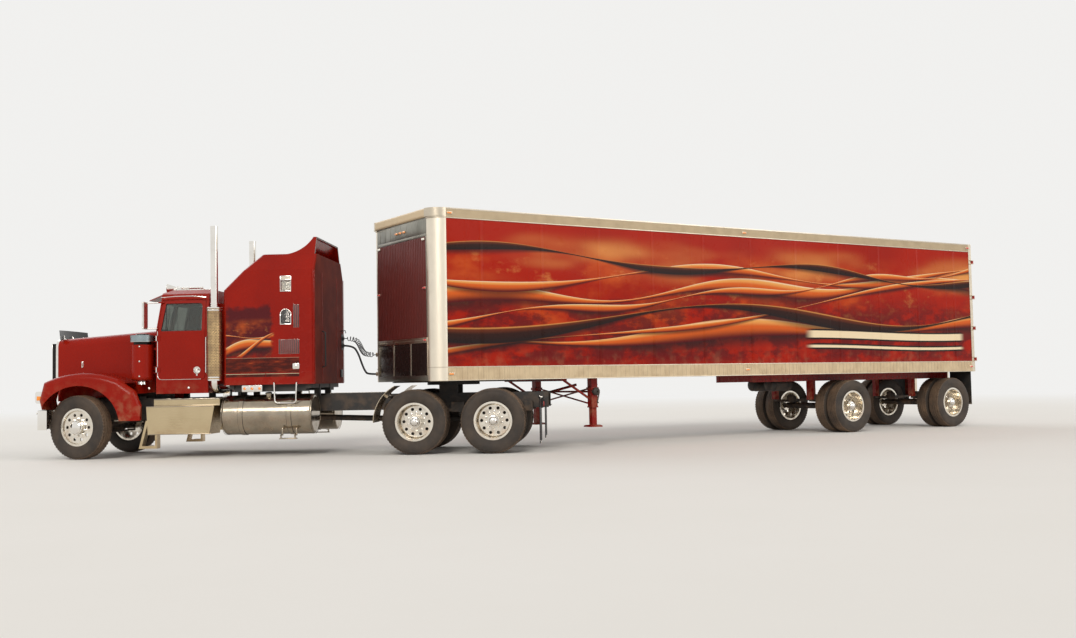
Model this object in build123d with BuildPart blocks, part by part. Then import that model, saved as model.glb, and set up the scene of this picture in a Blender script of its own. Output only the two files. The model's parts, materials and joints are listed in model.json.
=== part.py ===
from build123d import *
import os
from math import cos, radians, sin, tan

# A road tractor with a sleeper, coupled to a closed semi-trailer on a spread pair of axles.
# Everything is drawn straight ahead first: X forward, Y to the vehicle's left, Z up from the
# ground, with X = Y = 0 on the kingpin. The tractor is then turned about the kingpin, and the
# front wheels about their own pivots, to the stance on the ground.

os.makedirs("parts", exist_ok=True)

# Stance, in degrees, turned to the right
articulation = 35.3
steer_angle = 13.5

# Clearances
seat_gap = 0.3
panel_gap = 6

# Tyres and rims, the same on every axle
tyre_radius = 545
tyre_width = 279
tread_width = 230
bead_radius = 300
bead_width = 200
rim_flange_radius = 322
rim_flange = 9
rim_wall = 12
dual_spacing = 330
dual_track = 1829
hub_radius = 105
hand_hole_radius = 27
hand_hole_circle = 215
hand_holes = 10

# Tractor layout
wheelbase = 6395
tandem_offset = 180
drive_spacing = 1320
steer_track = 2030
pivot_inset = 135
steer_pin_radius = 22
steer_arm = 150
spindle_radius = 45
beam_low = 500
beam_high = 590
ear_gap = 1
ear_height = 48
ear_radius = 45

# Tractor frame
rail_half = 432
rail_depth = 270
rail_flange = 85
rail_wall = 9
rail_top = 1010
frame_front = 6880
frame_rear = -1740
bearer_half = 1060

# Hood, fenders and front end
hood_front = 6905
hood_rear = 5100
hood_front_half = 480
hood_rear_half = 635
hood_front_top = 2078
hood_rear_top = 2190
hood_front_bottom = 985
hood_rear_bottom = 1120
hood_corner = 150
hood_skin = 14
grille_depth = 125
grille_shell = 40
grille_drop = 76
grille_frame = 45
grille_bars = 13
grille_rim = 28
hood_pivot_x = 6960
hood_pivot_z = 868
fender_half = 1200
fender_arch = 705
fender_skin = 12
fender_tail_x = 5455
fender_blade = 90
fender_round = 110
bumper_front = 7010
bumper_half = 1200
bumper_low = 510
bumper_high = 840
bumper_end = 6760
bumper_corner = 230
bumper_skin = 8
tow_hole_radius = 30
tow_hole_y = 300
tow_hole_z = 600

# Cab
cab_half = 980
cab_back = 4045
cab_corner_x = 4950
cowl_x = 5060
cowl_half = 660
cowl_point = 28
cab_floor = 1090
belt_z = 2160
eaves_z = 2800
cab_roof = 2880
cab_wall = 50
door_front = 4930
door_rear = 4095
door_bottom = 1325
door_top = 2700
door_lean = 75
door_corner = 70
window_margin = 62
glass_inset = 20
glass_thickness = 6
hinge_radius = 14
hinge_pin = 8
hinge_height = 90
hinge_out = 16
hinge_x = 4938
door_hinges = (1500, 2040)

# Sleeper
sleeper_front = 3735
sleeper_back = 2165
sleeper_half = 1128
sleeper_floor = 1215
sleeper_brow = 2830
sleeper_crease = 3160
sleeper_roof = 3440
sleeper_roof_half = 960
sleeper_wall = 40
sleeper_corner = 75

# Stacks, tanks and steps
stack_x = 3890
stack_y = 1100
stack_radius = 63.5
stack_top = 3930
muffler_radius = 110
shield_radius = 125
shield_low = 1320
shield_high = 2530
tank_radius = 335
tank_front = 3760
tank_rear = 2220
tank_y = 868
tank_z = 705
step_front = 5035
step_rear = 3872
tread_front = 4936
tread_rear = 3801

# Trailer
trailer_length = 13716
trailer_half = 1219
trailer_top = 4110
trailer_under = 1220
nose_overhang = 945
trailer_axle_back = 8830
trailer_spread = 3180
side_wall = 40
front_wall = 45
nose_corner = 240
nose_cap = 45
cap_low = 3960
bottom_rail = 235
top_rail = 175
floor_top = 1370
deck_thickness = 35
beam_pitch = 305
beam_depth = 100
roof_skin = 30
post_width = 90
rear_header = 130
rear_door = 45
door_swing_out = 22
coupler_z = 1200
coupler_plate = 12
king_pin_radius = 25.4
king_pin_length = 84
plate_hole_radius = 3.5
plate_hole_spacing = 178
plate_hole_depth = 25
plate_y = 700
plate_z = 1295

front_axle_x = wheelbase - tandem_offset
drive_axle_x = [drive_spacing / 2 - tandem_offset, -drive_spacing / 2 - tandem_offset]
trailer_axle_x = [-trailer_axle_back, -trailer_axle_back - trailer_spread]
trailer_front = nose_overhang
trailer_rear = nose_overhang - trailer_length
steer_wheel_y = steer_track / 2
pivot_y = steer_wheel_y - pivot_inset

pieces = {}


def block(x, y, z, mode=Mode.ADD):
    """A box between a low and a high value on each axis."""
    with Locations(((x[0] + x[1]) / 2, (y[0] + y[1]) / 2, (z[0] + z[1]) / 2)):
        Box(x[1] - x[0], y[1] - y[0], z[1] - z[0], mode=mode)


def rod(start, end, radius, mode=Mode.ADD):
    """A round bar from one point to another."""
    run = Vector(*end) - Vector(*start)
    middle = (Vector(*start) + Vector(*end)) * 0.5
    with Locations(Plane(origin=middle, z_dir=run)):
        Cylinder(radius, run.length, mode=mode)


def side_panel(points, y, mode=Mode.ADD):
    """A flat shape given in X and Z, as thick as the two values of Y are apart."""
    with BuildSketch(Plane.XZ.offset(-y[1])) as outline:
        with BuildLine():
            Polyline(*points, close=True)
        make_face()
    extrude(outline.sketch, amount=y[1] - y[0], mode=mode)


def ring_of_revolution(x, y, points, mode=Mode.ADD):
    """A wheel piece: points are (across, radius) about the axle at height tyre_radius."""
    section = Plane(origin=(x, y, tyre_radius), x_dir=(0, 1, 0), z_dir=(1, 0, 0))
    with BuildSketch(section) as outline:
        with BuildLine():
            Polyline(*points, close=True)
        make_face()
    revolve(outline.sketch, axis=Axis((x, y, tyre_radius), (0, 1, 0)), mode=mode)


def tyre_ring(x, y):
    """One tyre, with straight tread, angled shoulders and bulged walls."""
    half, bead, tread = tyre_width / 2, bead_width / 2, tread_width / 2
    bulge = (bead_radius + tyre_radius) / 2
    ring_of_revolution(x, y, [
        (-bead, bead_radius), (-bead, rim_flange_radius + 4), (-half, bulge),
        (-tread, tyre_radius), (tread, tyre_radius),
        (half, bulge), (bead, rim_flange_radius + 4), (bead, bead_radius)])


def hand_hole_ring(x, y, low, high):
    """The round holes of a disc wheel, cut between two values across the wheel."""
    face = Plane(origin=(x, y + low, tyre_radius), x_dir=(1, 0, 0), z_dir=(0, 1, 0))
    with BuildSketch(face) as holes:
        with PolarLocations(hand_hole_circle, hand_holes):
            Circle(hand_hole_radius)
    extrude(holes.sketch, amount=high - low, mode=Mode.SUBTRACT)


# Dual wheels: two tyres on one pair of disc wheels, with the hub through both


def dual_wheel(axle_x, side):
    """A pair of tyres and the metal between them; side is +1 on the left, -1 on the right."""
    middle = side * dual_track / 2
    with BuildPart() as tyres:
        for shift in (-dual_spacing / 2, dual_spacing / 2):
            tyre_ring(axle_x, middle + shift)
    seat = bead_radius - seat_gap
    edge = dual_spacing / 2 + bead_width / 2 + seat_gap
    lip = edge + rim_flange
    bore = seat - rim_wall
    disc = 12
    inner, hub_end = 95, 60
    with BuildPart() as metal:
        ring_of_revolution(axle_x, middle, [
            (-lip, bore), (-lip, rim_flange_radius), (-edge, rim_flange_radius), (-edge, seat),
            (edge, seat), (edge, rim_flange_radius), (lip, rim_flange_radius), (lip, bore),
            (disc * 5, bore), (disc, bore - 25), (disc, 0), (-disc, 0), (-disc, bore - 25),
            (-disc * 5, bore)])
        hub_low = middle - side * edge * 0.55
        hub_high = middle + side * (edge - hub_end)
        rod((axle_x, hub_low, tyre_radius), (axle_x, hub_high, tyre_radius), hub_radius)
        rod((axle_x, hub_high, tyre_radius), (axle_x, hub_high + side * inner / 2, tyre_radius),
            inner * 0.75)
        hand_hole_ring(axle_x, middle, -disc, disc)
        rod((axle_x, hub_low - side, tyre_radius), (axle_x, middle, tyre_radius),
            spindle_radius + seat_gap, mode=Mode.SUBTRACT)
    return tyres, metal


wheel_rows = [("drive_front", drive_axle_x[0]), ("drive_rear", drive_axle_x[1]),
              ("trailer_front", trailer_axle_x[0]), ("trailer_rear", trailer_axle_x[1])]
for row, axle_x in wheel_rows:
    for hand, side in (("left", 1), ("right", -1)):
        tyres, metal = dual_wheel(axle_x, side)
        pieces[f"{row}_tyres_{hand}"] = (tyres, f"{row}_{hand}")
        pieces[f"{row}_wheels_{hand}"] = (metal, f"{row}_{hand}")

# Steered wheels: one tyre, a disc wheel set near its outer edge, and the hub

steer_disc = 70
for hand, side in (("left", 1), ("right", -1)):
    middle = side * steer_wheel_y
    with BuildPart() as tyre:
        tyre_ring(front_axle_x, middle)
    seat = bead_radius - seat_gap
    edge = bead_width / 2 + seat_gap
    lip = edge + rim_flange
    bore = seat - rim_wall
    face = steer_disc - 12
    outline = [(-lip, bore), (-lip, rim_flange_radius), (-edge, rim_flange_radius), (-edge, seat),
               (edge, seat), (edge, rim_flange_radius), (lip, rim_flange_radius), (lip, bore),
               (steer_disc + 10, bore - 15), (steer_disc, 0), (face, 0), (face, bore - 15),
               (0, bore)]
    with BuildPart() as metal:
        ring_of_revolution(front_axle_x, middle, [(side * a, r) for a, r in outline])
        rod((front_axle_x, middle - side * 20, tyre_radius),
            (front_axle_x, middle + side * (edge + 25), tyre_radius), hub_radius)
        hand_hole_ring(front_axle_x, middle, *sorted((side * face - side * 5, side * steer_disc + side * 20)))
        rod((front_axle_x, middle - side * 21, tyre_radius), (front_axle_x, middle + side * 60, tyre_radius),
            spindle_radius + seat_gap, mode=Mode.SUBTRACT)
    pieces[f"steer_tyre_{hand}"] = (tyre, f"steer_wheel_{hand}")
    pieces[f"steer_wheel_{hand}"] = (metal, f"steer_wheel_{hand}")


    # Knuckle: two ears on the axle's upright pin, a web with the stub, and the steering arm
    pin_y = side * pivot_y
    ears = [(beam_low - ear_gap - ear_height, beam_low - ear_gap),
            (beam_high + ear_gap, beam_high + ear_gap + ear_height)]
    web = sorted((pin_y + side * (ear_radius + 5), pin_y + side * (ear_radius + 35)))
    with BuildPart() as knuckle:
        for low, high in ears:
            rod((front_axle_x, pin_y, low), (front_axle_x, pin_y, high), ear_radius)
            block((front_axle_x - 40, front_axle_x + 40), sorted((pin_y, web[1] if side > 0 else web[0])),
                  (low, high))
        block((front_axle_x - 50, front_axle_x + 50), web, (ears[0][0], ears[1][1]))
        rod((front_axle_x, pin_y + side * (ear_radius + 6), tyre_radius),
            (front_axle_x, middle + side * 50, tyre_radius), spindle_radius)
        arm = (ears[0][0], ears[0][0] + 30)
        block((front_axle_x - steer_arm, front_axle_x), (pin_y - 14, pin_y + 14), arm)
        rod((front_axle_x - steer_arm, pin_y, arm[0]), (front_axle_x - steer_arm, pin_y, arm[1]), 17)
        rod((front_axle_x - steer_arm, pin_y, arm[0] - 45), (front_axle_x - steer_arm, pin_y, arm[0]), 8)
        rod((front_axle_x, pin_y, ears[0][0] - 1), (front_axle_x, pin_y, ears[1][1] + 1),
            steer_pin_radius + seat_gap, mode=Mode.SUBTRACT)
    pieces[f"knuckle_{hand}"] = (knuckle, f"knuckle_{hand}")

# Tie rod between the two steering arms, drawn at straight ahead
tie_x = front_axle_x - steer_arm
tie_z = beam_low - ear_gap - ear_height - 22
with BuildPart() as tie_rod:
    rod((tie_x, -pivot_y + 10, tie_z), (tie_x, pivot_y - 10, tie_z), 15)
    for side in (1, -1):
        rod((tie_x, side * pivot_y, tie_z - 18), (tie_x, side * pivot_y, tie_z + 18), 17)
        rod((tie_x, side * pivot_y, tie_z - 20), (tie_x, side * pivot_y, tie_z + 20), 8 + seat_gap,
            mode=Mode.SUBTRACT)
pieces["tie_rod"] = (tie_rod, "tie_rod")

# Front axle: a dropped beam between the pins, with a leaf spring each side under the frame
spring_y = rail_half - rail_flange / 2
spring_span, spring_thickness = 700, 50
rail_low = rail_top - rail_depth
with BuildPart() as front_axle:
    block((front_axle_x - 45, front_axle_x + 45), (-spring_y - 60, spring_y + 60), (400, 490))
    for side in (1, -1):
        inner, outer = side * (spring_y + 60), side * pivot_y
        with BuildSketch(Plane.YZ.offset(front_axle_x - 45)) as neck:
            with BuildLine():
                Polyline((inner, 400), (outer - side * 60, beam_low), (outer, beam_low), (outer, beam_high),
                         (outer - side * 60, beam_high), (inner, 490), close=True)
            make_face()
        extrude(neck.sketch, amount=90)
        rod((front_axle_x, outer, beam_low), (front_axle_x, outer, beam_high), ear_radius)
        rod((front_axle_x, outer, beam_low - ear_height), (front_axle_x, outer, beam_high + ear_height),
            steer_pin_radius)
        block((front_axle_x - 90, front_axle_x + 90), (side * spring_y - 50, side * spring_y + 50), (489, 545))
    for side in (1, -1):
        y = (side * spring_y - 38, side * spring_y + 38)
        with BuildSketch(Plane.XZ.offset(-y[1])) as leaf:
            with BuildLine():
                low = ThreePointArc((front_axle_x - spring_span, 650), (front_axle_x, 541),
                                    (front_axle_x + spring_span, 650))
                Line(low @ 1, (front_axle_x + spring_span, 650 + spring_thickness))
                high = ThreePointArc((front_axle_x + spring_span, 650 + spring_thickness),
                                     (front_axle_x, 541 + spring_thickness),
                                     (front_axle_x - spring_span, 650 + spring_thickness))
                Line(high @ 1, low @ 0)
            make_face()
        extrude(leaf.sketch, amount=y[1] - y[0])
        for end in (-1, 1):
            x = front_axle_x + end * (spring_span - 40)
            block((x - 40, x + 40), y, (650, rail_low))
pieces["front_axle"] = (front_axle, "tractor")

# Frame: two channel rails with their open sides inward, joined by cross members
cross_members = [(frame_front - 90, 180), (4450, 160), (2500, 160), (1150, 160),
                 ((drive_axle_x[0] + drive_axle_x[1]) / 2, 200), (frame_rear + 60, 160)]
web_inside = rail_half - rail_wall
with BuildPart() as frame:
    for side in (1, -1):
        block((frame_rear, frame_front), sorted((side * (rail_half - rail_flange), side * rail_half)),
              (rail_low, rail_top))
        block((frame_rear - 1, frame_front + 1), sorted((side * (rail_half - rail_flange - 1), side * web_inside)),
              (rail_low + rail_wall, rail_top - rail_wall), mode=Mode.SUBTRACT)
    for x, width in cross_members:
        middle_z = rail_low + rail_depth / 2
        block((x - width / 2, x + width / 2), (-web_inside, web_inside), (middle_z - 110, middle_z - 102))
        block((x - width / 2, x + width / 2), (-web_inside, web_inside), (middle_z + 102, middle_z + 110))
        block((x - 5, x + 5), (-web_inside, web_inside), (middle_z - 103, middle_z + 103))
    for side in (1, -1):
        ear = sorted((side * 380, side * 392))
        block((frame_front - 60, hood_pivot_x + 22), ear, (hood_pivot_z - 38, hood_pivot_z + 25))
        rod((hood_pivot_x, side * 335, hood_pivot_z), (hood_pivot_x, side * 392, hood_pivot_z), 12)
        for x, top in ((4910, cab_floor), (4170, cab_floor), (3610, sleeper_floor), (2300, sleeper_floor)):
            block((x - 50, x + 50), sorted((side * (rail_half - rail_flange), side * rail_half)), (rail_top, top))
    block((1150, 2140), (-rail_half, rail_half), (rail_top, rail_top + 30))
    # Bearers under the sleeper, with a box along each side between them
    for x in (2300, 3610):
        block((x - 40, x + 40), (-bearer_half, bearer_half), (sleeper_floor - 70, sleeper_floor))
    for side in (1, -1):
        block((2340, 3570), sorted((side * (bearer_half - 260), side * (bearer_half - 40))),
              (sleeper_floor - 120, sleeper_floor))
pieces["frame"] = (frame, "tractor")


# Radiator and the engine with its gearbox, each a plain block on the rails

engine_half = rail_half - rail_flange - 20
with BuildPart() as engine:
    block((6720, 6840), (-380, 380), (rail_top, 1850))
    block((5200, 6450), (-engine_half, engine_half), (640, 1700))
    block((4540, 5200), (-220, 220), (650, 1000))
    for x in (5400, 6250):
        block((x - 60, x + 60), (-rail_half, rail_half), (rail_top, rail_top + 40))
pieces["engine"] = (engine, "tractor")


# Hood: a tapering arch with a framed nose, tilting forward on two arms


def hood_form(inset, overrun=0):
    """The hood's solid form, inset all round, run past both ends and the open underside."""
    sections = []
    for x, half, low, high in (
            (hood_rear, hood_rear_half, hood_rear_bottom, hood_rear_top),
            (hood_front, hood_front_half, hood_front_bottom, hood_front_top)):
        sign = 1 if x == hood_front else -1
        with BuildSketch(Plane.YZ.offset(x + sign * overrun)) as arch:
            with BuildLine():
                edge, top, base = half - inset, high - inset, low - overrun
                radius = hood_corner - inset
                Line((-edge, base), (-edge, top - radius))
                RadiusArc((-edge, top - radius), (-edge + radius, top), radius)
                Line((-edge + radius, top), (edge - radius, top))
                RadiusArc((edge - radius, top), (edge, top - radius), radius)
                Line((edge, top - radius), (edge, base))
                Line((edge, base), (-edge, base))
            make_face()
        sections.append(arch.sketch.face())
    return loft(sections=sections, ruled=True, mode=Mode.PRIVATE)


hood_outer = hood_form(0)
hood_inner = hood_form(hood_skin, 60)
hood_cut = hood_form(1, 30)
grille_half = hood_front_half - grille_frame
grille_low = hood_front_bottom + 15
grille_high = hood_front_top - grille_drop
with BuildPart() as hood:
    add(hood_outer)
    add(hood_inner, mode=Mode.SUBTRACT)
    with BuildSketch(Plane.YZ.offset(hood_front - hood_skin)) as nose:
        with BuildLine():
            Polyline((-hood_front_half + 5, hood_front_bottom), (-hood_front_half + 5, hood_front_top - hood_corner),
                     (-hood_front_half + hood_corner, hood_front_top - 6),
                     (hood_front_half - hood_corner, hood_front_top - 6),
                     (hood_front_half - 5, hood_front_top - hood_corner), (hood_front_half - 5, hood_front_bottom),
                     close=True)
        make_face()
    extrude(nose.sketch, amount=hood_skin)
    block((hood_front - 100, hood_front + 20), (-grille_half, grille_half), (grille_low, grille_high),
          mode=Mode.SUBTRACT)
    for side in (1, -1):
        foot, reach = hood_front - hood_skin, hood_pivot_x + 22
        side_panel([(foot, hood_front_bottom + 14), (hood_front, hood_front_bottom + 14),
                    (reach, hood_pivot_z + 30), (reach, hood_pivot_z - 22), (hood_pivot_x - 22, hood_pivot_z - 22),
                    (foot, hood_front_bottom - 60)], sorted((side * 345, side * 370)))
        rod((hood_pivot_x, side * 340, hood_pivot_z), (hood_pivot_x, side * 375, hood_pivot_z), 12 + seat_gap,
            mode=Mode.SUBTRACT)

# Grille: a bright shell round the nose, and in it a deep frame with upright bars
with BuildPart() as grille:
    with BuildSketch(Plane.YZ.offset(hood_front)) as shell:
        with BuildLine():
            corner_z = hood_front_top - hood_corner
            Line((-hood_front_half, grille_low), (-hood_front_half, corner_z))
            RadiusArc((-hood_front_half, corner_z), (-hood_front_half + hood_corner, hood_front_top), hood_corner)
            Line((-hood_front_half + hood_corner, hood_front_top), (hood_front_half - hood_corner, hood_front_top))
            RadiusArc((hood_front_half - hood_corner, hood_front_top), (hood_front_half, corner_z), hood_corner)
            Line((hood_front_half, corner_z), (hood_front_half, grille_low))
            Line((hood_front_half, grille_low), (-hood_front_half, grille_low))
        make_face()
    extrude(shell.sketch, amount=grille_shell)
    block((hood_front - hood_skin, hood_front + grille_depth), (-grille_half, grille_half),
          (grille_low, grille_high))
    block((hood_front - hood_skin - 1, hood_front + grille_depth + 1),
          (grille_rim - grille_half, grille_half - grille_rim), (grille_low + grille_rim, grille_high - grille_rim),
          mode=Mode.SUBTRACT)
    pitch = 2 * (grille_half - grille_rim) / (grille_bars + 1)
    for i in range(grille_bars):
        y = grille_rim - grille_half + pitch * (i + 1)
        block((hood_front, hood_front + grille_depth - 12), (y - 5, y + 5),
              (grille_low + grille_rim - 1, grille_high - grille_rim + 1))
pieces["grille"] = (grille, "hood")

# Fenders: an arched skin over the wheel, a liner behind it and a blade that runs back outside


def fender_form(side, inset):
    """One fender's solid form, from the wheel arch out to its top line, inset all round."""
    shift = inset
    with BuildPart() as form:
        with BuildSketch(Plane.XZ.offset(-side * 520)) as outline:
            with BuildLine():
                nose_low = (6885 - shift, 850 - 2 * shift)
                nose_mid = (6925 - shift, 1010)
                nose_top = (6845 - shift, 1318 - shift)
                crown = ThreePointArc(nose_top, (6250, 1466 - shift), (5540 + shift * 0.3, 1350 - shift))
                Polyline(nose_low, nose_mid, nose_top)
                tail = Polyline(crown @ 1, (5250 + shift, 1150 - shift * 0.5), (5150 + shift, 900),
                                (5150 + shift, 645 - 2 * shift), (5500 - shift * 0.2, 645 - 2 * shift))
                ThreePointArc(tail @ 1, (front_axle_x, tyre_radius + fender_arch - 2 * shift), nose_low)
            make_face()
        extrude(outline.sketch, amount=-side * (fender_half - inset - 520))
        outer_edges = form.faces().sort_by(Axis.Y)[-1 if side > 0 else 0].edges()
        arch_span = 1500
        fillet(outer_edges.filter_by(lambda edge: (edge @ 0.5).Z > 880 and not (
            edge.length > arch_span and (edge @ 0.5).Z < tyre_radius + fender_arch + 30)),
            radius=fender_round - inset)
    return form.part


fender_outer = {side: fender_form(side, 0) for side in (1, -1)}
fender_inner = {side: fender_form(side, fender_skin) for side in (1, -1)}
with BuildPart() as fenders:
    for side in (1, -1):
        add(fender_outer[side])
        add(fender_inner[side], mode=Mode.SUBTRACT)
        block((5100, fender_tail_x), sorted((side * 500, side * (fender_half - fender_blade))), (500, 1500),
              mode=Mode.SUBTRACT)
        with BuildSketch(Plane.XZ.offset(-side * 520)) as liner:
            with BuildLine():
                outer = CenterArc((front_axle_x, tyre_radius), fender_arch + 14, 80, 92)
                inner = CenterArc((front_axle_x, tyre_radius), fender_arch + 2, 80, 92)
                Line(outer @ 0, inner @ 0)
                Line(outer @ 1, inner @ 1)
            make_face()
        extrude(liner.sketch, amount=-side * (fender_half - fender_skin / 2 - 520))
    add(hood_cut, mode=Mode.SUBTRACT)

with BuildPart() as hood_and_fenders:
    add(hood.part)
    add(fenders.part)
pieces["hood"] = (hood_and_fenders, "hood")

# Headlamp pods on the front of the fenders
with BuildPart() as headlamps:
    for side in (1, -1):
        block((6860, 7005), sorted((side * 790, side * 1110)), (960, 1165))
    front = headlamps.edges().filter_by(Axis.Y).group_by(Axis.X)[-1]
    fillet(front, radius=40)
    for side in (1, -1):
        add(fender_outer[side], mode=Mode.SUBTRACT)
pieces["headlamps"] = (headlamps, "hood")

# Bumper: one bent sheet with its ends wrapped back, on two brackets
with BuildPart() as bumper:
    with BuildSketch(Plane.XY.offset(bumper_low)) as plan:
        with BuildLine():
            Polyline((bumper_end, -bumper_half), (bumper_front, -bumper_half), (bumper_front, bumper_half),
                     (bumper_end, bumper_half), close=True)
        make_face()
        fillet(plan.vertices().group_by(Axis.X)[-1], radius=bumper_corner)
    extrude(plan.sketch, amount=bumper_high - bumper_low)
    with BuildSketch(Plane.XY.offset(bumper_low - 1)) as hollow:
        with BuildLine():
            Polyline((bumper_end - 1, -bumper_half + bumper_skin), (bumper_front - bumper_skin, -bumper_half + bumper_skin),
                     (bumper_front - bumper_skin, bumper_half - bumper_skin),
                     (bumper_end - 1, bumper_half - bumper_skin), close=True)
        make_face()
        fillet(hollow.vertices().group_by(Axis.X)[-1], radius=bumper_corner - bumper_skin)
    extrude(hollow.sketch, amount=bumper_high - bumper_low + 2, mode=Mode.SUBTRACT)
    for side in (1, -1):
        block((frame_front, bumper_front - bumper_skin / 2), sorted((side * (rail_half - rail_wall), side * rail_half)),
              (rail_low + 10, bumper_high - 10))
        rod((bumper_front - bumper_skin - 1, side * tow_hole_y, tow_hole_z),
            (bumper_front + 1, side * tow_hole_y, tow_hole_z), tow_hole_radius, mode=Mode.SUBTRACT)
pieces["bumper"] = (bumper, "tractor")


# Cab: flat faces at real angles, pointed at the windshield, with a crowned roof. Each row has
# three points of a face on the left side; the right side mirrors it.
belt_corner, belt_cowl, belt_point = (cab_corner_x, cab_half), (cowl_x, cowl_half), (cowl_x + cowl_point, 0)
eaves_side, eaves_front = (4870, 890), (4925, 640)
roof_side, roof_front = (4700, 720), (4760, 450)
cab_faces = [
    ((cab_back, cab_half, belt_z), (*belt_corner, belt_z), (*eaves_side, eaves_z)),
    ((cab_back, eaves_side[1], eaves_z), (*eaves_side, eaves_z), (*roof_side, cab_roof)),
    ((*belt_corner, belt_z), (*belt_cowl, belt_z), (*belt_corner, cab_floor)),
    ((*belt_cowl, belt_z), (*belt_point, belt_z), (*belt_cowl, cab_floor)),
    ((*belt_corner, belt_z), (*belt_cowl, belt_z), (*eaves_side, eaves_z)),
    ((*belt_cowl, belt_z), (*belt_point, belt_z), (*eaves_front, eaves_z)),
    ((*eaves_front, eaves_z), (eaves_front[0] + 20, 0, eaves_z), (*roof_front, cab_roof))]


def cab_form(inset):
    """The cab's solid form, every face inset by the same distance."""
    inside = Vector((cab_back + cab_corner_x) / 2, 0, belt_z)
    with BuildPart() as form:
        block((cab_back + inset, cowl_x + 100), (inset - cab_half, cab_half - inset),
              (cab_floor + inset, cab_roof - inset))
        for side in (1, -1):
            for row in cab_faces:
                a, b, c = [Vector(x, side * y, z) for x, y, z in row]
                outward = (b - a).cross(c - a).normalized()
                if outward.dot(inside - a) > 0:
                    outward = outward * -1
                split(bisect_by=Plane(origin=a - outward * inset, z_dir=outward), keep=Keep.BOTTOM)
    return form.part


cab_outer, cab_inner = cab_form(0), cab_form(cab_wall)
pane_outer, pane_inner = cab_form(glass_inset), cab_form(glass_inset + glass_thickness)


def door_outline(shrink):
    """The door's outline in side view, made smaller by shrink."""
    with BuildSketch(Plane.XZ) as outline:
        with BuildLine():
            Polyline((door_front - shrink, door_bottom + shrink), (door_front - shrink, belt_z),
                     (door_front - door_lean - shrink, door_top - shrink), (door_rear + shrink, door_top - shrink),
                     (door_rear + shrink, door_bottom + shrink), close=True)
        make_face()
        fillet(outline.vertices().group_by(Axis.Y)[0], radius=door_corner)
    return outline.sketch


def window_outline(shrink):
    """The door window's outline in side view, made smaller by shrink."""
    margin = window_margin + shrink
    with BuildSketch(Plane.XZ) as outline:
        with BuildLine():
            Polyline((door_front - margin, belt_z + shrink), (door_front - door_lean - margin, door_top - margin),
                     (door_rear + margin, door_top - margin), (door_rear + margin, belt_z + shrink), close=True)
        make_face()
        fillet(outline.vertices().group_by(Axis.Y)[-1].sort_by(Axis.X)[0], radius=60)
    return outline.sketch


def through_side(sketch, side, mode):
    """A side-view outline run out through one side of the cab."""
    extrude(sketch, amount=-side * (cab_half + 200), mode=mode)


# Sun visor: a thin plate that runs forward and down from the roof's front edge, narrower ahead
visor_rear, visor_front, visor_high, visor_low = 4875, 5205, 2838, 2722
visor_rear_half, visor_front_half, visor_skin = 690, 620, 14
with BuildPart() as visor:
    side_panel([(visor_rear, visor_high), (visor_front, visor_low), (visor_front, visor_low - visor_skin),
                (visor_rear, visor_high - visor_skin)], (-visor_rear_half, visor_rear_half))
    for side in (1, -1):
        edge = Vector(visor_front - visor_rear, side * (visor_front_half - visor_rear_half), 0)
        outward = Vector(-edge.Y, edge.X, 0).normalized() * side
        split(bisect_by=Plane(origin=(visor_rear, side * visor_rear_half, 0), z_dir=outward), keep=Keep.BOTTOM)

marker_lamps = (-560, -280, 0, 280, 560)
horn_y, horn_z = 250, 2955
windshield = ((4700, 5300), (45, 585), (2215, 2650))
walk_through = (345, 1320, 2560)
with BuildPart() as cab:
    add(cab_outer)
    add(cab_inner, mode=Mode.SUBTRACT)
    for side in (1, -1):
        through_side(door_outline(0), side, Mode.SUBTRACT)
        block(windshield[0], sorted((side * windshield[1][0], side * windshield[1][1])), windshield[2],
              mode=Mode.SUBTRACT)
        for z in door_hinges:
            for end in (-1, 1):
                low = z + end * hinge_height / 2
                block((hinge_x - 4, hinge_x + 50), sorted((side * (cab_half - 2), side * (cab_half + hinge_out))),
                      sorted((low + end * 2, low + end * 12)))
            rod((hinge_x, side * (cab_half + hinge_out), z - hinge_height / 2 - 16),
                (hinge_x, side * (cab_half + hinge_out), z + hinge_height / 2 + 16), hinge_pin)
    block((cab_back - 10, cab_back + cab_wall + 10), (-walk_through[0], walk_through[0]), walk_through[1:],
          mode=Mode.SUBTRACT)
    add(visor.part)
    # Roof marker lamps, and two trumpet horns on their feet
    for y in marker_lamps:
        block((4645, 4735), (y - 32, y + 32), (cab_roof - 5, cab_roof + 48))
    for side in (1, -1):
        rod((4380, side * horn_y, horn_z), (4860, side * horn_y, horn_z), 20)
        with Locations(Plane(origin=(4930, side * horn_y, horn_z), z_dir=(1, 0, 0))):
            Cone(20, 78, 160)
        for x in (4420, 4640):
            block((x - 15, x + 15), (side * horn_y - 15, side * horn_y + 15), (cab_roof - 5, horn_z))
pieces["cab"] = (cab, "tractor")


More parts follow.
